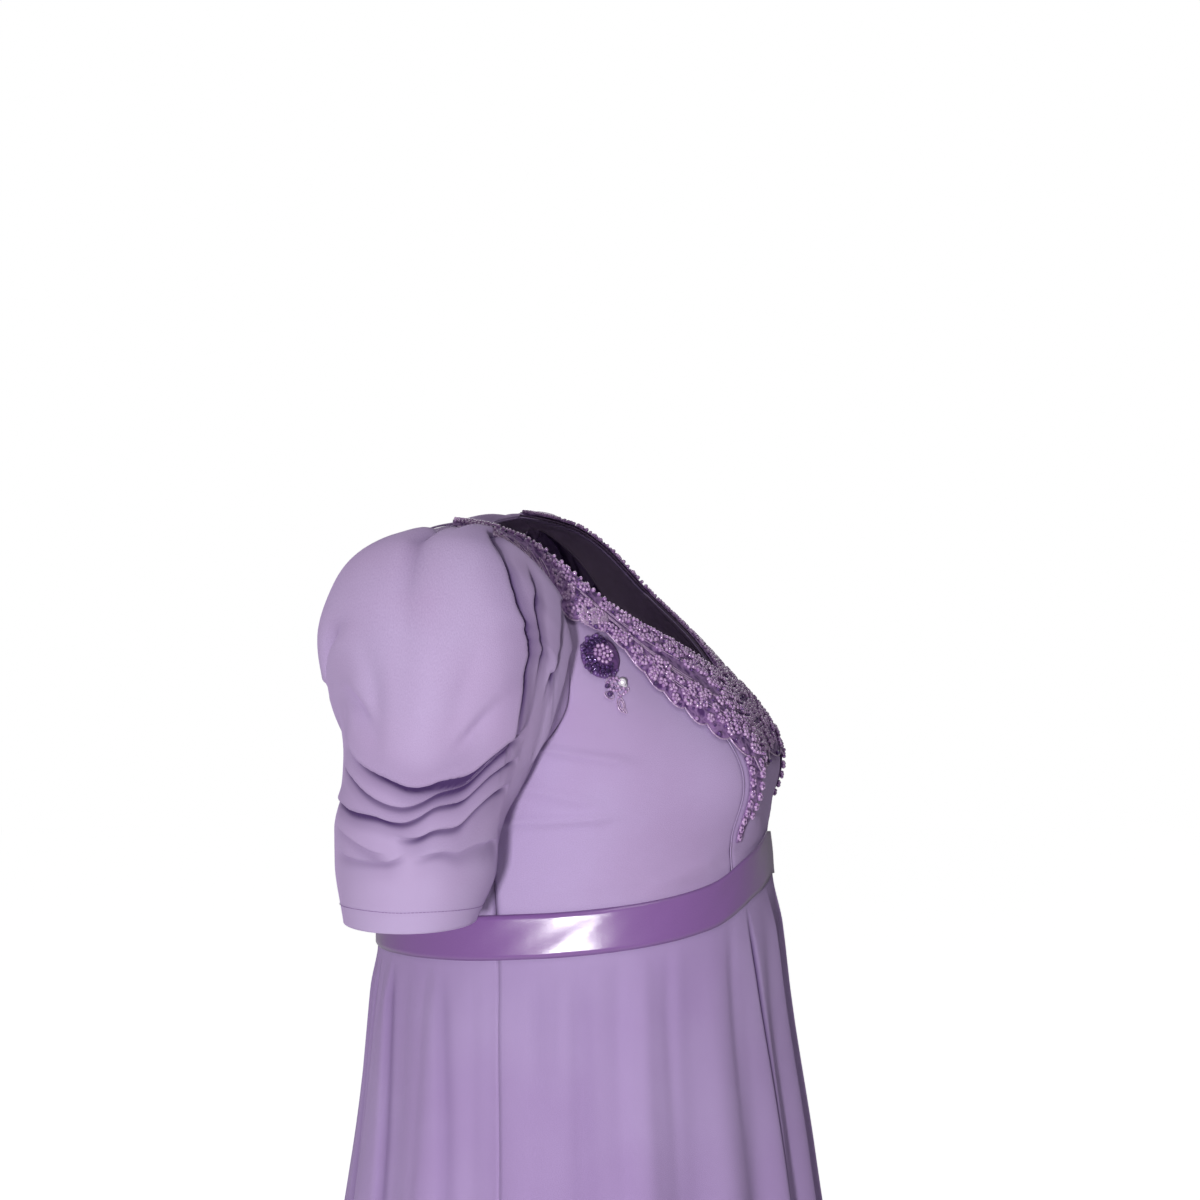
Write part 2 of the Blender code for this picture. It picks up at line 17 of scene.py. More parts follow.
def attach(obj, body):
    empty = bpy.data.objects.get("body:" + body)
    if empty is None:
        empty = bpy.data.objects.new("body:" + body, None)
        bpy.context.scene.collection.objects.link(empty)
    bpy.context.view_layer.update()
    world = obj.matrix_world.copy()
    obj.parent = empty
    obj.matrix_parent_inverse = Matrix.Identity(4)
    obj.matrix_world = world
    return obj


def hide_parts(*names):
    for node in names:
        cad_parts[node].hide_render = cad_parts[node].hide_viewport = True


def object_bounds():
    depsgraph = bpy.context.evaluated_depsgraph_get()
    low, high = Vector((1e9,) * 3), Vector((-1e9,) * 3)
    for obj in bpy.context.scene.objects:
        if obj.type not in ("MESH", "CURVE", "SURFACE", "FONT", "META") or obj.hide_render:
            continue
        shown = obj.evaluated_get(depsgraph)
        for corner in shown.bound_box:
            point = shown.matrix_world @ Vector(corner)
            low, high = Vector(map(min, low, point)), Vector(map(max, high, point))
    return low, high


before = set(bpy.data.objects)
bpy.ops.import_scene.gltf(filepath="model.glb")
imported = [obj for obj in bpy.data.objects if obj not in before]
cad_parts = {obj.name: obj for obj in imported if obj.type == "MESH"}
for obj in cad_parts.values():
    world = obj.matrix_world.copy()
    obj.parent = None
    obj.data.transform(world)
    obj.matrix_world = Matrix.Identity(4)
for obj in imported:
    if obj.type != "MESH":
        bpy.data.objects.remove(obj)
cad_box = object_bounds()

# ------------------------------------------------------------------ the studio
# A pale floor under the hem, one bright lamp beside the camera and large soft ones above, behind and to
# the left of the gown. The camera looks at the wearer's right side from a little in front of it.

FLOOR_DROP = 0.002
FLOOR_RADIUS = 9.0
FLOOR_GLOW = 0.85
AIR_LIGHT = 0.17


def as_mesh(name, bm):
    """The mesh of a bmesh, which is freed."""
    mesh = bpy.data.meshes.new(name)
    bm.to_mesh(mesh)
    bm.free()
    return mesh


def placed(name, data):
    """A new object in the scene."""
    thing = bpy.data.objects.new(name, data)
    bpy.context.scene.collection.objects.link(thing)
    return thing


def join(tree, node, inputs):
    """Sets a node's inputs to plain values, or joins them to the outputs of other nodes."""
    for name, value in inputs.items():
        if isinstance(value, bpy.types.NodeSocket):
            tree.links.new(value, node.inputs[name])
        else:
            node.inputs[name].default_value = value


def add_node(tree, kind, inputs, **settings):
    """The outputs of a new node. The settings come first, because they decide which inputs it has."""
    node = tree.nodes.new("ShaderNode" + kind)
    for name, value in settings.items():
        setattr(node, name, value)
    join(tree, node, inputs)
    return node.outputs


def new_material(name):
    material = bpy.data.materials.new(name)
    material.use_nodes = True
    return material, material.node_tree, material.node_tree.nodes["Principled BSDF"]


bm = bmesh.new()
bmesh.ops.create_circle(bm, cap_ends=True, segments=96, radius=FLOOR_RADIUS,
                        matrix=Matrix.Translation((0, 0, cad_box[0][2] - FLOOR_DROP)))
studio_floor = placed("studio_floor", as_mesh("studio_floor", bm))
floor_paint, paint, paint_surface = new_material("studio_floor_paint")
floor_seen = add_node(paint, "LightPath", {})["Is Camera Ray"]
floor_glow = add_node(paint, "Math", {0: floor_seen, 1: FLOOR_GLOW}, operation="MULTIPLY")["Value"]
join(paint, paint_surface, {
    "Base Color": (0.86, 0.86, 0.86, 1),
    "Roughness": 0.8,
    "Emission Color": (1, 1, 1, 1),
    "Emission Strength": floor_glow,
})
studio_floor.data.materials.append(floor_paint)

studio_air = bpy.data.worlds.new("studio_air")
studio_air.use_nodes = True
air = studio_air.node_tree
seen = add_node(air, "LightPath", {})["Is Camera Ray"]
glow = add_node(air, "MapRange", {"Value": seen, "To Min": AIR_LIGHT, "To Max": 1.0})["Result"]
join(air, air.nodes["Background"], {"Color": (1.0, 1.0, 1.0, 1), "Strength": glow})
bpy.context.scene.world = studio_air
bpy.context.scene.view_settings.view_transform = "Standard"

CAMERA_TURN = math.radians(10)
CAMERA_DISTANCE = 2.0
CAMERA_SIDESTEP = 0.0813
CAMERA_HEIGHT = 0.050
CAMERA_SENSOR = 36
CAMERA_FOCAL = 83.34
CAMERA_DIP = math.atan(4.5 / CAMERA_FOCAL)

view_in = Vector((math.cos(CAMERA_TURN), math.sin(CAMERA_TURN), 0.0))
view_right = Vector((math.sin(CAMERA_TURN), -math.cos(CAMERA_TURN), 0.0))
camera_data = bpy.data.cameras.new("camera")
camera_data.sensor_width = CAMERA_SENSOR
camera_data.lens = CAMERA_FOCAL
camera = placed("camera", camera_data)
camera.location = -CAMERA_DISTANCE * view_in + CAMERA_SIDESTEP * view_right + Vector((0, 0, CAMERA_HEIGHT))
look = view_in * math.cos(CAMERA_DIP) - Vector((0, 0, math.sin(CAMERA_DIP)))
camera.rotation_euler = look.to_track_quat("-Z", "Y").to_euler()
bpy.context.scene.camera = camera


def table(columns, *rows):
    """The rows of a table, with its columns named."""
    Row = namedtuple("Row", columns)
    return tuple(Row(*row) for row in rows)


LAMPS = table(
    "name place aim width watts",
    ("flash_lamp", (-2.05, -0.19, -0.14), (0.0, -0.08, -0.22), 0.15, 28.0),
    ("high_lamp", (-1.3, -0.7, 1.7), (0.0, -0.05, -0.2), 1.2, 7.0),
    ("back_lamp", (0.8, 2.6, 0.9), (0.0, 0.0, -0.5), 1.6, 16.0),
    ("left_lamp", (2.6, 0.3, 0.8), (0.0, 0.0, -0.5), 1.6, 16.0),
)
for lamp in LAMPS:
    lamp_data = bpy.data.lights.new(lamp.name, "AREA")
    lamp_data.shape = "DISK"
    lamp_data.size = lamp.width
    lamp_data.energy = lamp.watts
    lamp_object = placed(lamp.name, lamp_data)
    lamp_object.location = lamp.place
    lamp_object.rotation_euler = (Vector(lamp.aim) - Vector(lamp.place)).to_track_quat("-Z", "Y").to_euler()

# ------------------------------------------------------------------ the form that the gown is cut on
# Horizontal sections of the whole gown from strap to hem. Angles run in degrees from the centre front
# over the wearer's right side to the centre back. Every panel and trim is laid on this one form.

GOWN_SECTIONS = table(
    "height half_width middle front back roundness",
    (0.000, 0.112, 0.000, 0.018, 0.016, 0.87),
    (-0.005, 0.135, -0.002, 0.040, 0.030, 0.87),
    (-0.012, 0.152, -0.004, 0.058, 0.042, 0.87),
    (-0.030, 0.159, -0.008, 0.080, 0.060, 0.87),
    (-0.060, 0.157, -0.020, 0.097, 0.084, 0.87),
    (-0.100, 0.151, -0.036, 0.122, 0.108, 0.86),
    (-0.140, 0.146, -0.050, 0.140, 0.126, 0.85),
    (-0.178, 0.144, -0.056, 0.148, 0.134, 0.85),
    (-0.215, 0.140, -0.058, 0.143, 0.135, 0.86),
    (-0.250, 0.138, -0.059, 0.146, 0.135, 0.87),
    (-0.290, 0.143, -0.061, 0.149, 0.136, 0.90),
    (-0.340, 0.157, -0.064, 0.151, 0.143, 0.92),
    (-0.454, 0.190, -0.072, 0.158, 0.162, 0.96),
    (-0.700, 0.240, -0.078, 0.182, 0.200, 0.98),
    (-1.000, 0.285, -0.075, 0.207, 0.235, 1.00),
    (-1.430, 0.330, -0.070, 0.238, 0.275, 1.00),
)
GOWN_LENGTH = 1.430
BUST_DROP = 0.172
CUP_ANGLE = 27
CUP_SPREAD = 17
CUP_RISE = 0.012
CUP_HEIGHT = 0.040
SEAM = 0.0003
METRES_A_DEGREE = 0.0024

WAIST = table(
    "angle height",
    (0, -0.236), (20, -0.245), (40, -0.260), (70, -0.271), (110, -0.280), (180, -0.286),
)
NECKLINE = table(
    "angle height",
    (0, -0.110), (6, -0.096), (20, -0.074), (30, -0.055), (36, -0.033), (42, -0.012), (55, -0.003),
    (90, 0.000),
)
BACK_NECKLINE = table(
    "angle height",
    (90, 0.000), (125, -0.003), (138, -0.012), (150, -0.030), (165, -0.042), (180, -0.045),
)


def read(rows, where, value, column):
    """A column's values along a table, on a smooth curve that never overshoots its rows."""
    places = np.array([getattr(row, where) for row in rows], float)
    values = np.array([getattr(row, column) for row in rows], float)
    if places[0] > places[-1]:
        places, values = places[::-1], values[::-1]
    value = np.clip(value, places[0], places[-1])
    steps, rises = np.diff(places), np.diff(values)
    slopes = rises / steps
    product = slopes[:-1] * slopes[1:]
    inner = np.where(product > 0, 2 * product / np.where(product > 0, slopes[:-1] + slopes[1:], 1.0), 0.0)
    tangents = np.concatenate((slopes[:1], inner, slopes[-1:]))
    i = np.clip(np.searchsorted(places, value, side="right") - 1, 0, len(steps) - 1)
    s = (value - places[i]) / steps[i]
    start, end = tangents[i] * steps[i], tangents[i + 1] * steps[i]
    return values[i] + s * (start + s * (3 * rises[i] - 2 * start - end + s * (start + end - 2 * rises[i])))


def mix(a, b, share):
    return a + (b - a) * share


def ease(low, high, value):
    s = np.clip((value - low) / (high - low), 0.0, 1.0)
    return s * s * (3 - 2 * s)


def bell(distance):
    return np.exp(-distance * distance)


def toward(a, b):
    """Unit vectors from the points a to the points b."""
    way = b - a
    return way / np.maximum(np.linalg.norm(way, axis=-1, keepdims=True), 1e-9)


def from_front(angle):
    """Degrees from the centre front, the same on both sides of the gown."""
    return np.abs((angle + 180) % 360 - 180)


def facing(surface, a, b, step):
    """The outward direction of a surface of two values, a running to the right hand and b upwards."""
    along_a = surface(a + step[0], b) - surface(a - step[0], b)
    along_b = surface(a, b + step[1]) - surface(a, b - step[1])
    normal = np.cross(along_b, along_a)
    return normal / np.maximum(np.linalg.norm(normal, axis=-1, keepdims=True), 1e-12)


def power_of(value, power):
    return np.sign(value) * np.abs(value) ** power


def gown_section(angle, height):
    turn = np.radians(angle)
    power = read(GOWN_SECTIONS, "height", height, "roundness")
    front = read(GOWN_SECTIONS, "height", height, "front")
    depth = np.where(np.cos(turn) > 0, front, read(GOWN_SECTIONS, "height", height, "back"))
    x = -read(GOWN_SECTIONS, "height", height, "half_width") * power_of(np.sin(turn), power)
    y = read(GOWN_SECTIONS, "height", height, "middle") - depth * power_of(np.cos(turn), power)
    return np.stack((x, y, height + 0 * x), axis=-1)


def outward(angle, height):
    return facing(gown_section, angle, np.minimum(height, -0.002), (1.0, 0.0015))


def gown_point(angle, height, out=0.0):
    """Points of the form, moved out of its surface."""
    angle, height, out = np.broadcast_arrays(angle, height, out)
    cup = CUP_RISE * bell((from_front(angle) - CUP_ANGLE) / CUP_SPREAD)
    cup = cup * bell((height + BUST_DROP) / CUP_HEIGHT)
    return gown_section(angle, height) + outward(angle, height) * (out + cup)[..., None]


def waist(angle):
    return read(WAIST, "angle", from_front(angle), "height")


def as_piece(name, mesh, material=None):
    if material is not None:
        mesh.materials.append(material)
    return placed(name, mesh)


def lay_cloth(name, columns, rows, size, surface, painted_shading=None, sewn=False, core=None):
    """A flat grid of cloth laid on a surface of two values that each run 0 to 1.

    size is the cloth's flat size, for its weave. The shading, where one is given, says how much shade is
    painted at each point, in folds and along seams. A sewn cloth has its first and last columns joined, as
    a sleeve has. Its outside faces away from the core, which is the middle of the gown where none is given.
    """
    bm = bmesh.new()
    bmesh.ops.create_grid(bm, x_segments=columns, y_segments=rows, size=0.5)
    weave = bm.loops.layers.uv.new("weave")
    for face in bm.faces:
        for loop in face.loops:
            loop[weave].uv = ((loop.vert.co.x + 0.5) * size[0], (loop.vert.co.y + 0.5) * size[1])
    mesh = as_mesh(name, bm)
    flat = np.empty(len(mesh.vertices) * 3)
    mesh.vertices.foreach_get("co", flat)
    u, v = (flat.reshape(-1, 3)[:, :2] + 0.5).T
    laid = surface(u, v)
    mesh.vertices.foreach_set("co", laid.ravel())
    # Painted shade: this attribute holds how much fold and seam shade is painted at each point.
    depth = mesh.attributes.new("crease", "FLOAT", "POINT")
    depth.data.foreach_set("value", np.zeros(len(u)) if painted_shading is None else painted_shading(u, v))
    bm = bmesh.new()
    bm.from_mesh(mesh)
    if sewn:
        bmesh.ops.remove_doubles(bm, verts=bm.verts, dist=0.00001)
    core = Vector((0.0, -0.05, laid[:, 2].mean())) if core is None else Vector(core)
    if sum((face.calc_center_median() - core).dot(face.normal) * face.calc_area() for face in bm.faces) < 0:
        bmesh.ops.reverse_faces(bm, faces=bm.faces)
    bm.to_mesh(mesh)
    bm.free()
    mesh.shade_smooth()
    return as_piece(name, mesh)


def mirrored(piece, name):
    """The same piece for the wearer's left side."""
    bm = bmesh.new()
    bm.from_mesh(piece.data)
    bmesh.ops.scale(bm, verts=bm.verts, vec=(-1.0, 1.0, 1.0))
    bmesh.ops.reverse_faces(bm, faces=bm.faces)
    mesh = as_mesh(name, bm)
    for material in piece.data.materials:
        mesh.materials.append(material)
    return as_piece(name, mesh)


def thicken(piece, thickness):
    wall = piece.modifiers.new("thickness", "SOLIDIFY")
    wall.thickness = thickness
    wall.offset = -1.0
    wall.material_offset = 1


def line_with(piece, thickness, outside, inside):
    """Gives the cloth its thickness, its outer material, and another inside."""
    piece.data.materials.append(outside)
    piece.data.materials.append(inside)
    thicken(piece, thickness)


# ------------------------------------------------------------------ the cloths
# Lilac crepe chiffon over an opaque backing, and the smooth darker lining that shows inside the bodice.
# The weave group gives each cloth its thread grain, and a point attribute paints shade into its folds.

def weave_grain():
    group = bpy.data.node_groups.new("weave grain", "ShaderNodeTree")
    for name, way in (("Threads per metre", "INPUT"), ("Slub", "INPUT"), ("Height", "OUTPUT"),
                      ("Mottle", "OUTPUT")):
        group.interface.new_socket(name, in_out=way, socket_type="NodeSocketFloat")
    entry, out = group.nodes.new("NodeGroupInput").outputs, group.nodes.new("NodeGroupOutput")
    cloth_map = add_node(group, "UVMap", {}, uv_map="weave")["UV"]
    place = add_node(group, "TexCoord", {})["Object"]
    crepe = add_node(group, "TexNoise", {"Vector": cloth_map, "Scale": entry["Threads per metre"],
                                         "Detail": 2.0})
    patches = add_node(group, "TexNoise", {"Vector": place, "Scale": entry["Slub"],
                                           "Detail": 3.0, "Roughness": 0.55})
    join(group, out, {"Height": crepe["Fac"], "Mottle": patches["Fac"]})
    return group


WEAVE = weave_grain()


def cloth_material(name, light, dark, fold, roughness, sheen, threads, slub, bump):
    """Cloth mottled between light and dark, with shade painted into its folds and seams in the fold colour.
    """
    material, tree, surface = new_material(name)
    grain = add_node(tree, "Group", {"Threads per metre": threads, "Slub": slub}, node_tree=WEAVE)
    spread = add_node(tree, "MapRange", {"Value": grain["Mottle"], "From Min": 0.35, "From Max": 0.65})
    tone = add_node(tree, "Mix", {"A": (*light, 1), "B": (*dark, 1),
                                  "Factor": spread["Result"]}, data_type="RGBA")
    speckle = add_node(tree, "Mix", {"A": tone["Result"], "B": (0.70, 0.66, 0.74, 1),
                                     "Factor": grain["Height"]}, data_type="RGBA", blend_type="MULTIPLY")
    # Painted shade: the fold colour stands for the shade in folds and seams, mixed in by the attribute.
    fold_shade_amount = add_node(tree, "Attribute", {}, attribute_name="crease")
    fold_shaded = add_node(tree, "Mix", {"A": speckle["Result"], "B": (*fold, 1),
                                  "Factor": fold_shade_amount["Fac"]}, data_type="RGBA")
    crinkle = add_node(tree, "Bump", {"Height": grain["Height"], "Distance": bump, "Strength": 0.6})
    join(tree, surface, {
        "Base Color": fold_shaded["Result"],
        "Roughness": roughness,
        "Sheen Weight": sheen,
        "Sheen Roughness": 0.55,
        "Sheen Tint": (0.74, 0.54, 0.94, 1),
        "Specular IOR Level": 0.25,
        "Normal": crinkle["Normal"],
    })
    return material


# Each fold colour below is the painted shade mixed into that cloth's folds and seams.
chiffon = cloth_material(
    "lilac_chiffon_cloth", light=(0.56, 0.44, 0.68), dark=(0.52, 0.385, 0.615), fold=(0.045, 0.014, 0.100),
    roughness=0.80, sheen=0.32, threads=1500, slub=9.0, bump=0.00035)
bodice_chiffon = cloth_material(
    "lilac_chiffon_bodice", light=(0.545, 0.415, 0.675), dark=(0.505, 0.365, 0.61), fold=(0.06, 0.02, 0.12),
    roughness=0.74, sheen=0.30, threads=1500, slub=9.0, bump=0.00030)
skirt_chiffon = cloth_material(
    "lilac_chiffon_skirt", light=(0.50, 0.37, 0.64), dark=(0.45, 0.315, 0.585), fold=(0.055, 0.018, 0.115),
    roughness=0.82, sheen=0.24, threads=1500, slub=7.0, bump=0.00035)
lining = cloth_material(
    "plum_lining_cloth", light=(0.60, 0.49, 0.64), dark=(0.52, 0.42, 0.56), fold=(0.05, 0.03, 0.07),
    roughness=0.42, sheen=0.20, threads=2600, slub=14.0, bump=0.00010)

# ------------------------------------------------------------------ bodice
# Five panels of chiffon, each with its lining: a plain centre front, two sides shaped over the cups and
# carried up as the straps, and two backs that meet edge to edge. Their edges turn under at each seam.

PRINCESS_AT_WAIST = 29
PRINCESS_AT_NECK = 30
SIDE_PANEL_CORNER = 0.66
BACK_PANEL_CORNER = 0.56
UNDERARM_CORNER = 0.38
SIDE_SEAM = 98
# Just short of the middle, so that each half of the back stays on its own side.
CENTRE_BACK = 179.9995
UNDERARM_DROP = 0.165
BODICE_CLOTH = 0.0012
TURNED_UNDER = 0.0011
TURN_REACH = 0.0016
SEAM_SHADE = 0.55
SHADE_SHARE = 0.011

ARMHOLE = table(
    "around angle height",
    (-90, SIDE_SEAM, -UNDERARM_DROP),
    (-45, 81, -0.136),
    (0, 70, -0.095),
    (45, 71, -0.045),
    (90, 90, -0.010),
    (135, 112, -0.040),
    (180, 118, -0.090),
    (225, 110, -0.138),
    (270, SIDE_SEAM, -UNDERARM_DROP),
)
# Soft drag lines on the panels, each from one place to another on the form.
DRAG_FADE = 0.012
DRAGS = table(
    "angle height to_angle to_height rise reach",
    (92, -0.199, 75, -0.196, 0.0026, 0.0034),
    (90, -0.176, 78, -0.184, 0.0018, 0.0045),
    (84, -0.150, 68, -0.157, 0.0022, 0.0036),
    (56, -0.240, 40, -0.230, 0.0014, 0.0050),
    (48, -0.246, 34, -0.240, -0.0010, 0.0040),
    (88, -0.245, 62, -0.236, 0.0010, 0.0060),
    (24, -0.205, 10, -0.212, 0.0012, 0.0050),
    (26, -0.225, 8, -0.228, -0.0010, 0.0050),
    (125, -0.190, 150, -0.200, 0.0014, 0.0060),
    (130, -0.230, 160, -0.238, 0.0012, 0.0060),
    (112, -0.215, 128, -0.205, -0.0012, 0.0060),
    (140, -0.110, 160, -0.125, 0.0012, 0.0080),
)


def armhole(around):
    return read(ARMHOLE, "around", around, "angle"), read(ARMHOLE, "around", around, "height")


def princess(share):
    low = waist(np.array(PRINCESS_AT_WAIST))
    high = read(NECKLINE, "angle", PRINCESS_AT_NECK, "height")
    return mix(PRINCESS_AT_WAIST, PRINCESS_AT_NECK, share), mix(low, high, share)


def side_seam(share):
    return SIDE_SEAM + 0 * share, mix(waist(np.array(SIDE_SEAM)), -UNDERARM_DROP, share)


def along_two(share, change, first, second):
    """An edge in two lengths that meet at change."""
    a = first(np.clip(share / change, 0, 1))
    b = second(np.clip((share - change) / (1 - change), 0, 1))
    return tuple(np.where(share <= change, one, two) for one, two in zip(a, b))


def drag_lines(angle, height):
    rise = 0.0
    for drag in DRAGS:
        across = (from_front(angle) - drag.angle) * METRES_A_DEGREE
        up = height - drag.height
        run_across = (drag.to_angle - drag.angle) * METRES_A_DEGREE
        run_up = drag.to_height - drag.height
        length = math.hypot(run_across, run_up)
        along = (across * run_across + up * run_up) / length
        off = (across * run_up - up * run_across) / length
        past = np.maximum(np.maximum(-along, along - length), 0.0)
        rise = rise + drag.rise * bell(off / drag.reach) * bell(past / DRAG_FADE)
    return rise


def panel_between(first_edge, last_edge, last_seam=SEAM):
    """A surface between two edges, turned under along each seam."""

    def surface(u, v):
        start, end = first_edge(v), last_edge(v)
        width = np.linalg.norm(gown_point(*end) - gown_point(*start), axis=-1)
        trim = 0.5 / np.maximum(width, 0.004)
        share = mix(trim * SEAM, 1 - trim * last_seam, u)
        angle, height = mix(start[0], end[0], share), mix(start[1], end[1], share)
        turned = bell(u * width / TURN_REACH) + bell((1 - u) * width / TURN_REACH)
        return gown_point(angle, height, drag_lines(angle, height) - TURNED_UNDER * turned)

    return surface


def side_inner(v):
    def neck_to_strap(share):
        angle = mix(PRINCESS_AT_NECK, 90, share)
        return angle, read(NECKLINE, "angle", angle, "height")
    return along_two(v, SIDE_PANEL_CORNER, princess, neck_to_strap)


def side_outer(v):
    return along_two(v, UNDERARM_CORNER, side_seam, lambda share: armhole(mix(-90, 90, share)))


def back_outer(v):
    return along_two(v, UNDERARM_CORNER, side_seam, lambda share: armhole(mix(270, 90, share)))


def back_inner(v):
    def centre_back(share):
        return CENTRE_BACK + 0 * share, mix(waist(np.array(CENTRE_BACK)), -0.045, share)

    def neck_to_strap(share):
        angle = mix(CENTRE_BACK, 90, share)
        return angle, read(BACK_NECKLINE, "angle", angle, "height")
    return along_two(v, BACK_PANEL_CORNER, centre_back, neck_to_strap)


def front_surface(u, v):
    share = 2 * u - 1
    bottom, top = share * PRINCESS_AT_WAIST, share * PRINCESS_AT_NECK
    low, high = waist(bottom), read(NECKLINE, "angle", np.abs(top), "height")
    angle = mix(bottom, top, v) * (1 - 0.12 / PRINCESS_AT_WAIST)
    height = mix(low, high, v)
    away = (1 - np.abs(share)) * mix(0.066, 0.062, v)
    return gown_point(angle, height, drag_lines(angle, height) - TURNED_UNDER * bell(away / TURN_REACH))


def seam_shade(u, v):
    """How much shade is painted on the cloth where it turns under along a seam."""
    return SEAM_SHADE * np.maximum(bell(u / SHADE_SHARE), bell((1 - u) / SHADE_SHARE)) + 0 * v


side_surface = panel_between(side_inner, side_outer)
back_surface = panel_between(back_outer, back_inner, last_seam=0.0)
bodice_front = lay_cloth("bodice_front_panel", 52, 40, (0.16, 0.13), front_surface, seam_shade)
bodice_side = lay_cloth("bodice_side_panel_right", 80, 120, (0.20, 0.30), side_surface, seam_shade)
bodice_back = lay_cloth("bodice_back_panel_right", 64, 90, (0.19, 0.29), back_surface, seam_shade)
for panel in (bodice_front, bodice_side, bodice_back):
    line_with(panel, BODICE_CLOTH, bodice_chiffon, lining)
bodice_side_left = mirrored(bodice_side, "bodice_side_panel_left")
bodice_back_left = mirrored(bodice_back, "bodice_back_panel_left")
thicken(bodice_side_left, BODICE_CLOTH)
thicken(bodice_back_left, BODICE_CLOTH)
for cut in table(
    "piece node width length area rests_on",
    (bodice_front, "bodice_front", 0.16, 0.20, 0.0270, "bodice_side_right"),
    (bodice_side, "bodice_side_right", 0.19, 0.28, 0.0350, "bodice_front"),
    (bodice_side_left, "bodice_side_left", 0.19, 0.28, 0.0350, "bodice_front"),
    (bodice_back, "bodice_back_right", 0.20, 0.29, 0.0470, "bodice_side_right"),
    (bodice_back_left, "bodice_back_left", 0.20, 0.29, 0.0470, "bodice_side_left"),
):
    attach(cut.piece, "root")
    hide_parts(cut.node)

# ------------------------------------------------------------------ sleeves
# A puffed head gathered into the armhole, a front folded in upright pleats, and swags drawn up to them
# over a plain fitted hem. Each fold is cloth lapped over a line on the sleeve.

SLEEVE_CLOTH = 0.0010
ARMHOLE_GAP = 0.0005
ARMHOLE_MIDDLE = (90.0, -0.090)
PUFF_SQUARENESS = 0.72
PUFF_SQUARE_ALONG = 0.55
LEFT_SLEEVE_BACK = 0.045
BACK_LOBE_RISE = 0.012
BACK_LOBE_ALONG = 0.22
BACK_LOBE_REACH = 0.13
SLEEVE_RUN = 0.28
DEGREE_RUN = 0.0010
SLEEVE_STEP = (1.4, -0.006)
PLEAT_WAVER = 0.42
GATHER_DEPTH = 1.4
GATHER_SHADE = 0.34
LAP_EDGE = 0.0010
LAP_DIP = 0.40

SLEEVE_SECTIONS = table(
    "along outer_x outer_z inner_x inner_z front_y back_y",
    (0.00, -0.151, -0.009, -0.1460, -0.1655, -0.094, 0.022),
    (0.12, -0.180, 0.001, -0.1490, -0.171, -0.090, 0.041),
    (0.25, -0.212, -0.006, -0.1510, -0.177, -0.087, 0.058),
    (0.38, -0.238, -0.036, -0.1525, -0.183, -0.082, 0.062),
    (0.50, -0.251, -0.078, -0.1540, -0.190, -0.075, 0.053),
    (0.60, -0.255, -0.116, -0.1550, -0.198, -0.066, 0.050),
    (0.70, -0.256, -0.150, -0.1560, -0.207, -0.057, 0.051),
    (0.80, -0.255, -0.182, -0.1575, -0.219, -0.0515, 0.056),
    (0.88, -0.253, -0.210, -0.1590, -0.231, -0.050, 0.056),
    (1.00, -0.2495, -0.258, -0.1610, -0.254, -0.0365, 0.0505),
)
SWAG_DRAW = table(
    "along front back",
    (0.00, 0.00, 0.00),
    (0.40, 0.14, 0.07),
    (0.735, 0.34, 0.21),
    (0.825, 0.29, 0.185),
    (0.915, 0.235, 0.15),
    (1.00, 0.00, 0.00),
)
# Each swag is lapped down over a line: how far down the line lies at six places round the sleeve, how
# far the lap stands out, how long its cloth takes to sink back, the places where it runs out, and how
# dark the shade painted under it is.
SWAG_LINES = table(
    "at_165 at_130 at_100 at_70 at_45 at_22 rise sink front_end back_end dark",
    (0.690, 0.738, 0.722, 0.758, 0.812, 0.806, 0.0068, 0.030, 18, 150, 1.15),
    (0.800, 0.785, 0.772, 0.785, 0.832, 0.820, 0.0044, 0.009, 18, 152, 1.0),
    (0.877, 0.843, 0.804, 0.812, 0.862, 0.855, 0.0046, 0.009, 14, 160, 1.15),
    (0.870, 0.850, 0.832, 0.854, 0.906, 0.900, 0.0038, 0.011, 12, 90, 1.1),
    (0.900, 0.885, 0.862, 0.895, 0.940, 0.950, 0.0020, 0.012, 2, 78, 0.5),
    (0.950, 0.925, 0.884, 0.862, 0.860, 0.860, 0.0018, 0.010, 88, 150, 0.45),
    (0.922, 0.896, 0.870, 0.860, 0.860, 0.860, 0.0012, 0.008, 98, 156, 0.35),
)
# Upright pleats lapped towards the front: where the line lies at six places down the sleeve, and how
# dark the shade painted beside each is.
PLEAT_LINES = table(
    "at_20 at_35 at_50 at_65 at_78 at_88 rise sink top low dark",
    (72, 52, 38, 32, 29, 23, 0.0058, 0.018, 0.10, 0.93, 1.0),
    (47, 37, 28, 21, 15, 11, 0.0040, 0.010, 0.24, 0.80, 1.0),
    (25, 14, 8, 6, 4, 2, 0.0050, 0.014, 0.10, 0.74, 1.0),
    (3, -9, -16, -16, -14, -12, 0.0046, 0.013, 0.10, 0.72, 0.9),
)
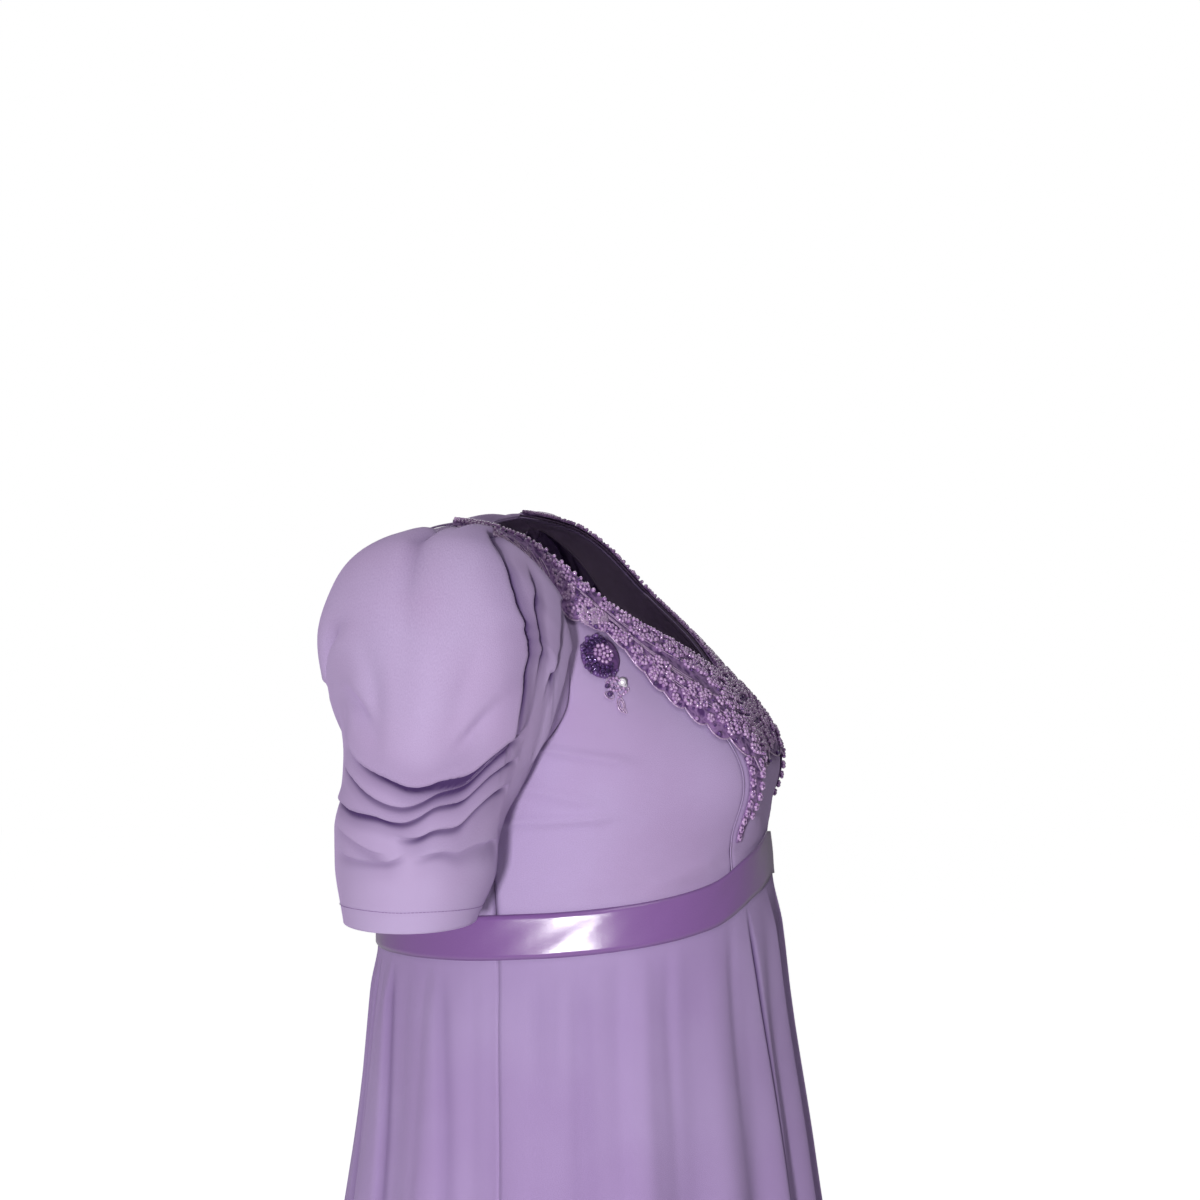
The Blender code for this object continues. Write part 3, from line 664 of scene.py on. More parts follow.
# Gathers at the armhole, and long soft hollows in the puff.
GATHERS = table(
    "around length rise reach",
    (58, 0.16, 0.0020, 3.0),
    (70, 0.20, -0.0018, 3.2),
    (79, 0.13, 0.0022, 3.0),
    (87, 0.26, -0.0042, 3.2),
    (96, 0.46, -0.0058, 3.8),
    (103, 0.16, 0.0022, 3.6),
    (112, 0.22, -0.0020, 3.6),
    (122, 0.14, 0.0020, 4.0),
    (134, 0.20, -0.0020, 4.6),
    (148, 0.14, 0.0018, 4.6),
    (162, 0.18, -0.0018, 5.0),
    (182, 0.14, 0.0018, 6.0),
)
HOLLOWS = table(
    "around down across_reach down_reach rise lean",
    (97, 0.36, 7, 0.12, -0.0024, 10),
    (118, 0.60, 9, 0.09, -0.0030, -60),
    (134, 0.655, 16, 0.026, -0.0066, -190),
    (52, 0.74, 12, 0.030, -0.0040, -90),
    (84, 0.55, 12, 0.14, 0.0022, 0),
    (62, 0.62, 8, 0.10, -0.0020, 20),
    (172, 0.440, 26, 0.026, -0.0110, 0),
    (172, 0.365, 24, 0.050, 0.0040, 0),
)


def sleeve_form(around, down, back):
    """The sleeve's plain form: puffed head, drawn-up swags and fitted hem, without its separate folds."""
    turn = np.radians(around)
    outside = ease(-0.75, 0.25, np.sin(turn))
    front = read(SWAG_DRAW, "along", down, "front")
    drawn = np.where(np.cos(turn) > 0, front, read(SWAG_DRAW, "along", down, "back"))
    along = down - drawn * np.cos(turn) ** 2 * outside

    def at(name):
        moved = back * ease(0.0, 0.22, along) if name.endswith("_y") else 0.0
        return read(SLEEVE_SECTIONS, "along", along, name) + moved

    squarer = (np.cos(turn) < 0) & (np.sin(turn) > 0)
    power = np.where(squarer, mix(PUFF_SQUARENESS, 1.0, ease(0.2, PUFF_SQUARE_ALONG, along)), 1.0)
    reach = (1 + power_of(np.sin(turn), power)) / 2
    behind = (1 - power_of(np.cos(turn), power)) / 2
    xs, zs = (at("inner_x"), at("outer_x")), (at("inner_z"), at("outer_z"))
    ys = (at("front_y"), at("back_y"))
    point = np.stack((mix(*xs, reach), mix(*ys, behind), mix(*zs, reach)), axis=-1)
    middle = np.stack((mix(*xs, 0.5), mix(*ys, 0.5), mix(*zs, 0.5)), axis=-1)
    lobe = BACK_LOBE_RISE * bell((along - BACK_LOBE_ALONG) / BACK_LOBE_REACH)
    lobe = lobe * np.maximum(-np.cos(turn), 0.0) ** 2 * outside
    point = point + toward(middle, point) * lobe[..., None]
    seam = gown_point(*armhole((around + 90) % 360 - 90), ARMHOLE_GAP / 2)
    hole = gown_point(*ARMHOLE_MIDDLE)
    seam = seam + toward(seam, hole) * ARMHOLE_GAP
    return mix(seam, point, ease(0.0, 0.16, down)[..., None])


def plain_sleeve(back):
    """The sleeve's plain form as a surface of two values."""
    return lambda around, down: sleeve_form(around, down, back)


def lap(off, rise, sink):
    """The height of cloth lapped over a line: off is the distance behind the line's edge, in metres."""
    edge = 0.5 * (1 + np.tanh(off / LAP_EDGE))
    return rise * (edge * np.exp(-np.maximum(off, 0.0) / sink) - LAP_DIP * bell((off + 0.0022) / 0.0020))


def shade_under_lap(off, soft_share):
    """How much shade is painted at a point: dark close under the lap's edge, and softly so around it."""
    soft = 2 * bell((off + 0.0065) / 0.0042) + bell((off - 0.003) / 0.009)
    return bell((off + 0.0027) / 0.0020) + soft_share * soft


def line_at(row, names, places, where):
    """Where a fold's line lies, read smoothly between the places that its table row gives."""
    knots = table("place value", *((place, getattr(row, name)) for name, place in zip(names, places)))
    return read(knots, "place", where, "value")


def sleeve_folds(around, down):
    """Height of the folds, how far each lap hangs over its line, and how much shade is painted at a point.
    """
    height, over, aside, dark = 0.0, 0.0, 0.0, 0.0
    signed = (around + 180) % 360 - 180
    for row in SWAG_LINES:
        line = line_at(row, ("at_22", "at_45", "at_70", "at_100", "at_130", "at_165"),
                       (22, 45, 70, 100, 130, 165), signed)
        off = (line - down) * SLEEVE_RUN
        fade = ease(row.front_end - 8, row.front_end + 10, signed)
        fade = fade * (1 - ease(row.back_end - 18, row.back_end + 6, signed)) * (signed > -60)
        height = height + fade * lap(off, row.rise, row.sink)
        over = over + fade * 0.0022 / SLEEVE_RUN * bell((off - 0.0014) / 0.0018)
        uneven = 0.80 + 0.20 * np.sin(np.radians(signed) * 3.1 + 40 * row.at_100)
        dark = np.maximum(dark, fade * row.dark * uneven * shade_under_lap(off, 0.13))
    for row in PLEAT_LINES:
        line = line_at(row, ("at_20", "at_35", "at_50", "at_65", "at_78", "at_88"),
                       (0.20, 0.35, 0.50, 0.65, 0.78, 0.88), down)
        waver = PLEAT_WAVER * (np.sin(down * 43 + row.at_20) + 0.6 * np.sin(down * 71 + row.at_35))
        off = (signed - line - waver) * DEGREE_RUN
        fade = ease(row.top - 0.06, row.top + 0.10, down) * (1 - ease(row.low - 0.24, row.low, down))
        height = height + fade * lap(off, row.rise * (1 - 0.5 * ease(0.6, 0.85, down)), row.sink)
        aside = aside - fade * 0.0019 / DEGREE_RUN * bell((off - 0.0016) / 0.0024)
        dark = np.maximum(dark, fade * row.dark * shade_under_lap(off, 0.22))
    for row in GATHERS:
        fade = ease(0.0, 0.03, down) * (1 - ease(0.25 * row.length, row.length, down))
        drawn = fade * bell((signed - row.around) / row.reach)
        height = height + GATHER_DEPTH * row.rise * drawn
        dark = np.maximum(dark, GATHER_SHADE * drawn * (row.rise < 0))
    for row in HOLLOWS:
        off = (signed - row.around - row.lean * (down - row.down)) / row.across_reach
        height = height + row.rise * bell(off) * bell((down - row.down) / row.down_reach)
    return height, over, aside, dark


def sleeve_turn(turn):
    """Degrees round the sleeve, closer together at its folded front: 0 front, 90 outside, 180 back."""
    return np.degrees(math.tau * turn - 0.42 * np.sin(math.tau * turn))


def sleeve_down(v):
    """From hem to armhole, with the rows close together over the swags."""
    rows = table("share down", (0.00, 1.0), (0.10, 0.965), (0.62, 0.690), (1.00, 0.0))
    return read(rows, "share", v, "down")


def sleeve_cloth(name, back):
    plain = plain_sleeve(back)

    def surface(u, v):
        around, down = sleeve_turn(u), sleeve_down(v)
        height, over, aside, dark = sleeve_folds(around, down)
        around, lower = around + aside, np.clip(down + over, 0.0, 1.0)
        normal = facing(plain, around, np.clip(lower, 0.006, 0.994), SLEEVE_STEP)
        return plain(around, lower) + normal * (height * ease(0.0, 0.03, down))[..., None]

    # Painted shade in the folds and gathers, passed to the cloth's colour.
    def painted_shading(u, v):
        return np.clip(sleeve_folds(sleeve_turn(u), sleeve_down(v))[3], 0.0, 1.0) * 0.95

    piece = lay_cloth(name, 230, 196, (0.46, 0.30), surface, painted_shading, sewn=True, core=(-0.20, back, -0.12))
    line_with(piece, SLEEVE_CLOTH, chiffon, chiffon)
    return piece


sleeve_right = sleeve_cloth("sleeve_cloth_right", 0.0)
left_pattern = sleeve_cloth("left_pattern", LEFT_SLEEVE_BACK)
sleeve_left = mirrored(left_pattern, "sleeve_cloth_left")
bpy.data.objects.remove(left_pattern)
thicken(sleeve_left, SLEEVE_CLOTH)
for sleeve, node, rests in ((sleeve_right, "sleeve_right", "bodice_side_right"),
                            (sleeve_left, "sleeve_left", "bodice_side_left")):
    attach(sleeve, "root")
    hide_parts(node)

# ------------------------------------------------------------------ skirt
# Two long flared panels sewn to the high waist. The cloth falls from it in upright folds that grow
# towards the hem, with sharper pleats near the centre front.

SKIRT_CLOTH = 0.0012
FOLDS_START = 0.018
FOLDS_FULL = 0.500
SKIRT_RUN = 1.150
SKIRT_STEP = (0.6, -0.004)
SKIRT_FOLDS = table(
    "angle rise reach",
    (4, 0.012, 4.0),
    (12, -0.012, 3.5),
    (20, 0.015, 4.0),
    (29, -0.013, 4.5),
    (40, 0.014, 5.5),
    (53, -0.012, 5.5),
    (65, 0.016, 6.0),
    (79, -0.013, 6.0),
    (92, 0.013, 6.0),
    (106, -0.013, 6.0),
    (119, 0.016, 6.0),
    (133, -0.014, 5.5),
    (146, 0.016, 5.5),
    (159, -0.015, 5.0),
    (172, 0.014, 4.5),
)
# Narrower pleats lapped towards the front: the angle of each at the waist and 0.15 m and 1.15 m below
# it, how far it stands out, how long it takes to sink back, where it ends, how dark its painted shade is,
# how far that shade reaches and how soft its edge is at the top. One below zero is a narrow slit of a fold.
SKIRT_PLEATS = table(
    "waist below hem rise sink ends dark shade soft",
    (23.9, 18.7, 16.0, -0.0024, 0.012, 1.00, 1.00, 0.0017, 0.0006),
    (6.0, 3.6, 3.0, 0.0034, 0.014, 1.00, 0.60, 0.0100, 0.0009),
    (90.5, 89.0, 88.0, 0.0012, 0.010, 0.10, 0.12, 0.0030, 0.0020),
    (87.0, 88.0, 88.0, 0.0010, 0.008, 0.10, 0.08, 0.0030, 0.0020),
    (82.0, 80.5, 80.0, 0.0012, 0.012, 0.45, 0.10, 0.0060, 0.0040),
    (61.0, 56.0, 54.0, 0.0012, 0.022, 0.70, 0.08, 0.0100, 0.0060),
    (118.0, 114.0, 110.0, 0.0024, 0.018, 0.80, 0.20, 0.0040, 0.0020),
    (140.0, 138.0, 136.0, 0.0030, 0.016, 0.90, 0.40, 0.0030, 0.0012),
    (154.0, 153.0, 152.0, 0.0034, 0.014, 0.95, 0.50, 0.0030, 0.0010),
    (166.0, 166.0, 166.0, 0.0036, 0.012, 1.00, 0.60, 0.0030, 0.0010),
)
# Soft gathers under the ribbon, uneven in depth and length, a few degrees apart all round.
WAIST_GATHERS = 64
GATHER_RISE = 0.0019
gathering = random.Random(11)
drawn_up = [(360 * (i + gathering.uniform(-0.35, 0.35)) / WAIST_GATHERS, gathering.uniform(0.12, 0.55),
             GATHER_RISE * gathering.uniform(-1.0, 1.0), gathering.uniform(1.6, 3.6))
            for i in range(WAIST_GATHERS)]
gathers = table("around length rise reach", *drawn_up)


def waist_gathers(angle, drop):
    rise = 0.0
    for row in gathers:
        fade = ease(0.004, 0.05, drop) * (1 - ease(0.3 * row.length, row.length, drop))
        rise = rise + row.rise * fade * bell(((angle - row.around + 180) % 360 - 180) / row.reach)
    return rise * ease(12, 34, from_front(angle))


def skirt_form(angle, drop):
    top = waist(angle) - SEAM
    height = top - drop * (top + GOWN_LENGTH) / SKIRT_RUN
    swell = 0.92 * ease(FOLDS_START, FOLDS_FULL, drop) + 0.08 * ease(FOLDS_START, 4 * FOLDS_START, drop)
    folds = sum(fold.rise * bell((from_front(angle) - fold.angle) / fold.reach) for fold in SKIRT_FOLDS)
    return gown_point(angle, height, swell * folds)


# The pleats' height, and the shade painted along them, which also darkens a strip at the centre front.
def skirt_pleats(angle, drop):
    height, dark = 0.0, 0.0
    run = mix(0.0024, 0.0052, ease(0.0, 1.15, drop))
    for row in SKIRT_PLEATS:
        line = line_at(row, ("waist", "below", "hem"), (0.0, 0.15, 1.15), drop)
        off = (from_front(angle) - line) * run
        fade = ease(0.014, 0.050, drop) * (1 - ease(0.6 * row.ends, row.ends * 1.2, drop))
        soft = mix(row.soft, 0.0060, ease(0.1, 0.8, drop))
        reach = row.shade + 0.6 * soft
        if row.rise < 0:
            height, deepest = height + fade * row.rise * bell(off / reach), 0.0
        else:
            edge = 0.5 * (1 + np.tanh(off / soft))
            height = height + fade * row.rise * (edge * np.exp(-np.maximum(off, 0.0) / row.sink)
                                                 - 0.4 * bell((off + 2 * soft) / (2 * soft)))
            deepest = -reach
        dark = np.maximum(dark, fade * row.dark * bell((off - deepest) / reach))
    return height, dark


def skirt_drop(v):
    rows = table("share drop", (0.0, SKIRT_RUN), (0.45, 0.40), (0.85, 0.04), (1.0, 0.0))
    return read(rows, "share", v, "drop")



def skirt_turn(start, end, crowded, u):
    """Degrees round the skirt, with the columns crowded towards the panel's middle."""
    share = 2 * u - 1
    share = share * (1 - crowded) + crowded * share ** 3
    return 0.5 * (start + end) + (0.5 * (end - start) - 0.01) * share


def skirt_cloth(name, start, end, columns, crowded):
    def surface(u, v):
        angle, drop = skirt_turn(start, end, crowded, u), skirt_drop(v)
        normal = facing(skirt_form, angle, np.clip(drop, 0.004, 1.146), SKIRT_STEP)
        turned = bell(u / 0.002) + bell((1 - u) / 0.002)
        height = skirt_pleats(angle, drop)[0] + waist_gathers(angle, drop) - 0.0002 * turned
        return skirt_form(angle, drop) + normal * np.asarray(height)[..., None]

    # Painted shade along the pleats, passed to the cloth's colour.
    def painted_shading(u, v):
        return np.clip(skirt_pleats(skirt_turn(start, end, crowded, u), skirt_drop(v))[1], 0.0, 1.0) * 0.9

    piece = lay_cloth(name, columns, 84, (0.9, 1.15), surface, painted_shading)
    line_with(piece, SKIRT_CLOTH, skirt_chiffon, skirt_chiffon)
    return piece


skirt_front = skirt_cloth("skirt_cloth_front", -SIDE_SEAM, SIDE_SEAM, 300, 0.45)
skirt_back = skirt_cloth("skirt_cloth_back", SIDE_SEAM, 360 - SIDE_SEAM, 230, 0.30)
for skirt, node, area in ((skirt_front, "skirt_front", 0.98), (skirt_back, "skirt_back", 0.86)):
    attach(skirt, "root")
    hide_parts(node)

# ------------------------------------------------------------------ waist ribbon
# One length of purple satin ribbon, caught down over the waist seam. Its shine breaks softly where the
# ribbon is not quite flat, and its selvedges are a little darker.

RIBBON_WIDTH = 0.030
RIBBON_CLOTH = 0.0008
RIBBON_GAP = 0.0009
SELVEDGE = 0.0011


def ribbon_surface(u, v):
    angle = 360 * u - 180
    height = waist(angle) + RIBBON_WIDTH * (v - 0.5)
    turn = np.radians(angle)
    buckle = 0.0003 * np.sin(turn * 13 + 5 * v) + 0.0002 * np.sin(turn * 29 + 9 * v + 1.0)
    crown = 0.0003 * (1 - (2 * v - 1) ** 2)
    return gown_point(angle, height, RIBBON_GAP + RIBBON_CLOTH + crown + 0.5 * buckle)


def satin_material():
    material, tree, surface = new_material("purple_satin_ribbon")
    cloth_map = add_node(tree, "UVMap", {}, uv_map="weave")["UV"]

    def stretched_noise(scale, detail):
        vector = add_node(tree, "Mapping", {"Vector": cloth_map, "Scale": scale})["Vector"]
        return add_node(tree, "TexNoise", {"Vector": vector, "Scale": 1.0, "Detail": detail})["Fac"]

    threads = stretched_noise((3000, 900, 1), 1.0)
    waves = stretched_noise((70, 16, 1), 2.0)
    up = add_node(tree, "SeparateXYZ", {"Vector": cloth_map})["Y"]
    inside = add_node(tree, "Math", {0: up, 1: RIBBON_WIDTH / 2, 2: RIBBON_WIDTH / 2 - SELVEDGE},
                      operation="COMPARE")
    tone = add_node(tree, "Mix", {"A": (0.225, 0.102, 0.320, 1), "B": (0.265, 0.120, 0.370, 1),
                                  "Factor": inside["Value"]}, data_type="RGBA")
    grain = add_node(tree, "Mix", {"A": tone["Result"], "B": (0.80, 0.78, 0.84, 1),
                                   "Factor": threads}, data_type="RGBA", blend_type="MULTIPLY")
    fine = add_node(tree, "Bump", {"Height": threads, "Distance": 0.00006, "Strength": 0.7})
    broad = add_node(tree, "Bump", {"Height": waves, "Distance": 0.0009, "Strength": 0.20,
                                    "Normal": fine["Normal"]})
    join(tree, surface, {
        "Base Color": grain["Result"],
        "Roughness": 0.25,
        "Specular IOR Level": 0.8,
        "IOR": 1.55,
        "Sheen Weight": 0.15,
        "Anisotropic": 0.35,
        "Normal": broad["Normal"],
    })
    return material


satin = satin_material()
waist_ribbon = lay_cloth("satin_waist_ribbon", 300, 8, (0.90, RIBBON_WIDTH), ribbon_surface, sewn=True)
line_with(waist_ribbon, RIBBON_CLOTH, satin, satin)
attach(waist_ribbon, "root")
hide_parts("waist_ribbon")

# ------------------------------------------------------------------ neckline lace
# A band of embroidered lilac net on each side of the neckline, laid over the bodice from the strap to
# the centre front. Its lower edge is scalloped, and its net is painted dark between the raised thread
# work, as shade falling between the threads.

LACE_CLOTH = 0.0007
LACE_OUT = 0.0024
LACE_OUT_AT_STRAP = 0.0032
SCALLOPS = 19
SCALLOP_DEPTH = 0.075
LACE_LOWER = table(
    "along angle height",
    (0.00, 86.0, -0.0035),
    (0.16, 58.0, -0.012),
    (0.30, 53.0, -0.032),
    (0.42, 55.0, -0.056),
    (0.54, 43.5, -0.076),
    (0.66, 42.0, -0.108),
    (0.76, 37.0, -0.131),
    (0.86, 28.0, -0.153),
    (0.93, 18.0, -0.169),
    (1.00, 0.0, -0.164),
)


def lace_place(along, across):
    """Angle and height on the form of a place in the lace: along from the strap, across from the neck."""
    along, across = np.broadcast_arrays(np.asarray(along, float), np.asarray(across, float))
    neck_angle = mix(88, 0.12, along ** 0.8)
    neck_height = read(NECKLINE, "angle", neck_angle, "height")
    low_angle = np.maximum(read(LACE_LOWER, "along", along, "angle"), 0.12)
    low_height = read(LACE_LOWER, "along", along, "height")
    return mix(neck_angle, low_angle, across), mix(neck_height, low_height, across)


def lace_point(along, across, lift=0.0):
    out = mix(LACE_OUT_AT_STRAP, LACE_OUT, ease(0.38, 0.65, along))
    return gown_point(*lace_place(along, across), out + lift)


def scalloped(along):
    """How far across the band its lower edge lies, from the strap to the centre front."""
    return 1 + SCALLOP_DEPTH * np.abs(np.sin(math.pi * SCALLOPS * along)) ** 0.7 * ease(0.30, 0.45, along)


def lace_surface(u, v):
    rib = 0.00035 * np.sin(v * 34 + 6 * np.sin(u * 19)) * ease(0.1, 0.3, v)
    return lace_point(u, v * scalloped(u), rib)


def threadwork_material():
    material, tree, surface = new_material("lilac_lace_net")
    place = add_node(tree, "TexCoord", {})["Object"]
    bend = add_node(tree, "TexNoise", {"Vector": place, "Scale": 90.0})
    swirl = add_node(tree, "Mix", {"A": place, "B": bend["Color"], "Factor": 0.018}, data_type="VECTOR")
    leaves = add_node(tree, "TexVoronoi", {"Vector": swirl["Result"], "Scale": 130.0},
                      feature="DISTANCE_TO_EDGE")
    # Painted shade: the colour darkens away from the raised threads, into the net between them.
    tone = add_node(tree, "ValToRGB", {"Fac": leaves["Distance"]})
    ramp = tone["Color"].node.color_ramp.elements
    for stop, (position, colour) in zip(ramp, ((0.02, (0.42, 0.24, 0.52, 1)),
                                               (0.30, (0.115, 0.038, 0.195, 1)))):
        stop.position, stop.color = position, colour
    speckle = add_node(tree, "Mix", {"A": tone["Color"], "B": (0.62, 0.56, 0.68, 1),
                                     "Factor": bend["Fac"]}, data_type="RGBA", blend_type="MULTIPLY")
    bump = add_node(tree, "Bump", {"Height": leaves["Distance"], "Distance": 0.0006, "Strength": 0.8},
                    invert=True)
    join(tree, surface, {
        "Base Color": speckle["Result"],
        "Roughness": 0.55,
        "Sheen Weight": 0.05,
        "Normal": bump["Normal"],
    })
    return material


lace_net = threadwork_material()
lace_right = lay_cloth("neckline_lace_right", 170, 26, (0.26, 0.055), lace_surface)
line_with(lace_right, LACE_CLOTH, lace_net, lace_net)
lace_left = mirrored(lace_right, "neckline_lace_left")
thicken(lace_left, LACE_CLOTH)

# The tails are narrow strips of the same lace that run down inside the princess seams.
TAIL_TOP = -0.163
TAIL_END = -0.2195
TAIL_INSIDE = 1.5
TAIL_WIDTH_TOP = 9.0
TAIL_WIDTH_END = 2.5
TAIL_RINGS = 9


def tail_place(across, down):
    """Angle and height in the tail: across from the princess seam towards the centre front."""
    height = mix(TAIL_TOP, TAIL_END, down)
    low, high = waist(np.array(PRINCESS_AT_WAIST)), read(NECKLINE, "angle", PRINCESS_AT_NECK, "height")
    share = (height - low) / (high - low)
    angle = mix(PRINCESS_AT_WAIST, PRINCESS_AT_NECK, share) - TAIL_INSIDE
    return angle - across * mix(TAIL_WIDTH_TOP, TAIL_WIDTH_END, down), height


lace_tail_right = lay_cloth("lace_tail_strip_right", 10, 46, (0.02, 0.056),
                            lambda u, v: gown_point(*tail_place(u, 1 - v), 0.0016))
line_with(lace_tail_right, LACE_CLOTH, lace_net, lace_net)
lace_tail_left = mirrored(lace_tail_right, "lace_tail_strip_left")
thicken(lace_tail_left, LACE_CLOTH)

# ------------------------------------------------------------------ pearls and beads on the lace
# Small lilac pearls sewn singly along the neck edge and in rings of five or six over the band, with a
# dark bead in most rings, and larger dark beads spaced along the scallops.

NECK_PEARLS = 84
PEARL = 0.00150
SMALL_PEARL = 0.00108
RING_RADIUS = 0.00250
RING_SPACING = 0.0088
RING_ROWS = 0.0094
RINGS_START = 0.46
DARK_BEAD = 0.0011
DARK_MIDDLES = 0.55
LOOSE_BEADS = 0.6
SCALLOP_BEAD = 0.0018
sewing = random.Random(7)


def gloss_material(name, light, dark, roughness, metallic=0.0, coat=0.0, spread=420.0):
    """A glossy bead, sequin or thread, a little lighter or darker from one to the next."""
    material, tree, surface = new_material(name)
    place = add_node(tree, "TexCoord", {})["Object"]
    patches = add_node(tree, "TexNoise", {"Vector": place, "Scale": spread, "Detail": 1.0})
    steep = add_node(tree, "MapRange", {"Value": patches["Fac"], "From Min": 0.35, "From Max": 0.65})
    tone = add_node(tree, "Mix", {"A": (*light, 1), "B": (*dark, 1), "Factor": steep["Result"]},
                    data_type="RGBA")
    join(tree, surface, {
        "Base Color": tone["Result"],
        "Roughness": roughness,
        "Metallic": metallic,
        "Coat Weight": coat,
        "Coat Roughness": 0.08,
    })
    return material


pearl = gloss_material("lilac_pearl", (0.66, 0.44, 0.72), (0.34, 0.17, 0.43), 0.20, coat=0.9)
dark_bead = gloss_material("dark_plum_bead", (0.16, 0.07, 0.28), (0.05, 0.02, 0.09), 0.15, coat=0.8)


def sewn_on(name, pattern, places, material):
    """Many of one small shape, each set in its own place, joined as one piece. Uses the pattern up."""
    shape = bpy.data.meshes.new(name + "_pattern")
    pattern.to_mesh(shape)
    pattern.free()
    bm = bmesh.new()
    for place in places:
        copy = shape.copy()
        copy.transform(place)
        bm.from_mesh(copy)
        bpy.data.meshes.remove(copy)
    bpy.data.meshes.remove(shape)
    mesh = as_mesh(name, bm)
    mesh.shade_smooth()
    return as_piece(name, mesh, material)


def bead_string(name, beads, material):
    """Round beads, each given as its centre and radius."""
    bead = bmesh.new()
    bmesh.ops.create_uvsphere(bead, u_segments=8, v_segments=5, radius=1.0)
    places = [Matrix.Translation(centre) @ Matrix.Scale(radius, 4) for centre, radius in beads]
    return sewn_on(name, bead, places, material)


def over_cloth(normal):
    """The directions to the right and upwards over a piece of cloth, seen from outside."""
    start = Vector((0, 0, 1)) if abs(normal.z) < 0.95 else Vector((1, 0, 0))
    right = start.cross(normal).normalized()
    return right, normal.cross(right)


def ring_of_pearls(place, count, radius, start):
    """Pearls sewn in a ring round a place given as angle and height on the form, and lift."""
    angle, height, lift = place
    centre = Vector(gown_point(angle, height, lift))
    normal = Vector(outward(angle, height))
    right, up = over_cloth(normal)
    places = []
    for i in range(count):
        turn = start + math.tau * i / count
        places.append((centre + radius * (math.cos(turn) * right + math.sin(turn) * up), PEARL))
    return places, (centre + normal * 0.0002, DARK_BEAD)


pearls, dark_beads = [], []
for i, along in enumerate(np.linspace(0.02, 0.995, NECK_PEARLS)):
    wander = 0.012 * sewing.uniform(-1, 1)
    size = PEARL * sewing.uniform(0.85, 1.15)
    pearls.append((Vector(lace_point(along, 0.035 + wander, 0.0009)), size))
    if i % 2 == 0 and along < 0.30:
        pearls.append((Vector(lace_point(along + 0.004, 0.16 + wander, 0.0008)), PEARL * 0.9))
        pearls.append((Vector(lace_point(along - 0.003, 0.30 + 2 * wander, 0.0008)), SMALL_PEARL))
    if i % 5 == 3:
        dark_beads.append((Vector(lace_point(along + 0.005, 0.09, 0.0005)), DARK_BEAD))

# The rings' columns are spaced evenly along the middle of the band.
mid_shares = np.linspace(0, 1, 400)
mid_line = lace_point(mid_shares, 0.5)
run_along = np.concatenate(([0.0], np.cumsum(np.linalg.norm(np.diff(mid_line, axis=0), axis=1))))
first_run = np.interp(RINGS_START, mid_shares, run_along)
columns = int((run_along[-1] - first_run) / RING_SPACING)
for column in range(columns + 1):
    along = float(np.interp(first_run + column * RING_SPACING, run_along, mid_shares))
    width = float(np.linalg.norm(lace_point(along, 0.0) - lace_point(along, 1.0)))
    rings = max(int(width / RING_ROWS), 2)
    for row in range(rings):
        across = (row + 0.70 + 0.5 * (column % 2)) / (rings + 0.45)
        if across > 0.97 or (0.36 < across < 0.52 and 0.50 < along < 0.88):
            continue
        along_here = min(along + sewing.uniform(-0.005, 0.005), 0.992)
        across += sewing.uniform(-0.03, 0.03)
        angle, height = lace_place(along_here, across)
        ring, middle = ring_of_pearls((angle, height, LACE_OUT + 0.0011), sewing.choice((5, 5, 6)),
                                      RING_RADIUS * sewing.uniform(0.92, 1.1), sewing.uniform(0, 6.28))
        pearls.extend(ring)
        if sewing.random() < DARK_MIDDLES:
            dark_beads.append(middle)
        else:
            pearls.append(middle)
        if sewing.random() < LOOSE_BEADS:
            loose = lace_point(along_here + sewing.uniform(0.008, 0.012), across + 0.05, 0.0007)
            dark_beads.append((Vector(loose), SMALL_PEARL))
for scallop in range(6, SCALLOPS):
    along = (scallop + 0.5) / SCALLOPS
    edge_bead = Vector(lace_point(along, 1.0 + 0.6 * SCALLOP_DEPTH, 0.0012))
    if scallop % 3 == 0:
        dark_beads.append((edge_bead, SCALLOP_BEAD))
    else:
        pearls.append((edge_bead, PEARL))

for side, down_to in ((0.10, 1.0), (0.90, 0.72)):
    steps = int(TAIL_RINGS * down_to)
    for i in range(steps):
        down = (i + 0.3 + 0.5 * (side > 0.5)) / TAIL_RINGS
        angle, height = tail_place(side, down)
        shrink = mix(1.0, 0.6, down)
        ring, middle = ring_of_pearls((angle, height, 0.0028), 5, RING_RADIUS * 0.85 * shrink,
                                      sewing.uniform(0, 6.28))
        pearls.extend((centre, radius * mix(1.0, 0.8, down)) for centre, radius in ring)
        dark_beads.append(middle)

lace_pearls = bead_string("lace_pearls_right", pearls, pearl)
lace_dark_beads = bead_string("lace_dark_beads_right", dark_beads, dark_bead)
lace_pearls_left = mirrored(lace_pearls, "lace_pearls_left")
lace_dark_beads_left = mirrored(lace_dark_beads, "lace_dark_beads_left")

# ------------------------------------------------------------------ thread work and edging
# Silvery lilac thread couched along the band in long veins, a corded scallop at its lower edge, a satin
# stitched leaf near the strap, and a dark rolled edge all round the neck.

CURLS = 26
VEIN_THREAD = 0.00032
EDGE_THREAD = 0.00055
LEAF_THREAD = 0.00042
NECK_ROLL = 0.00085
PIPING = 0.0004


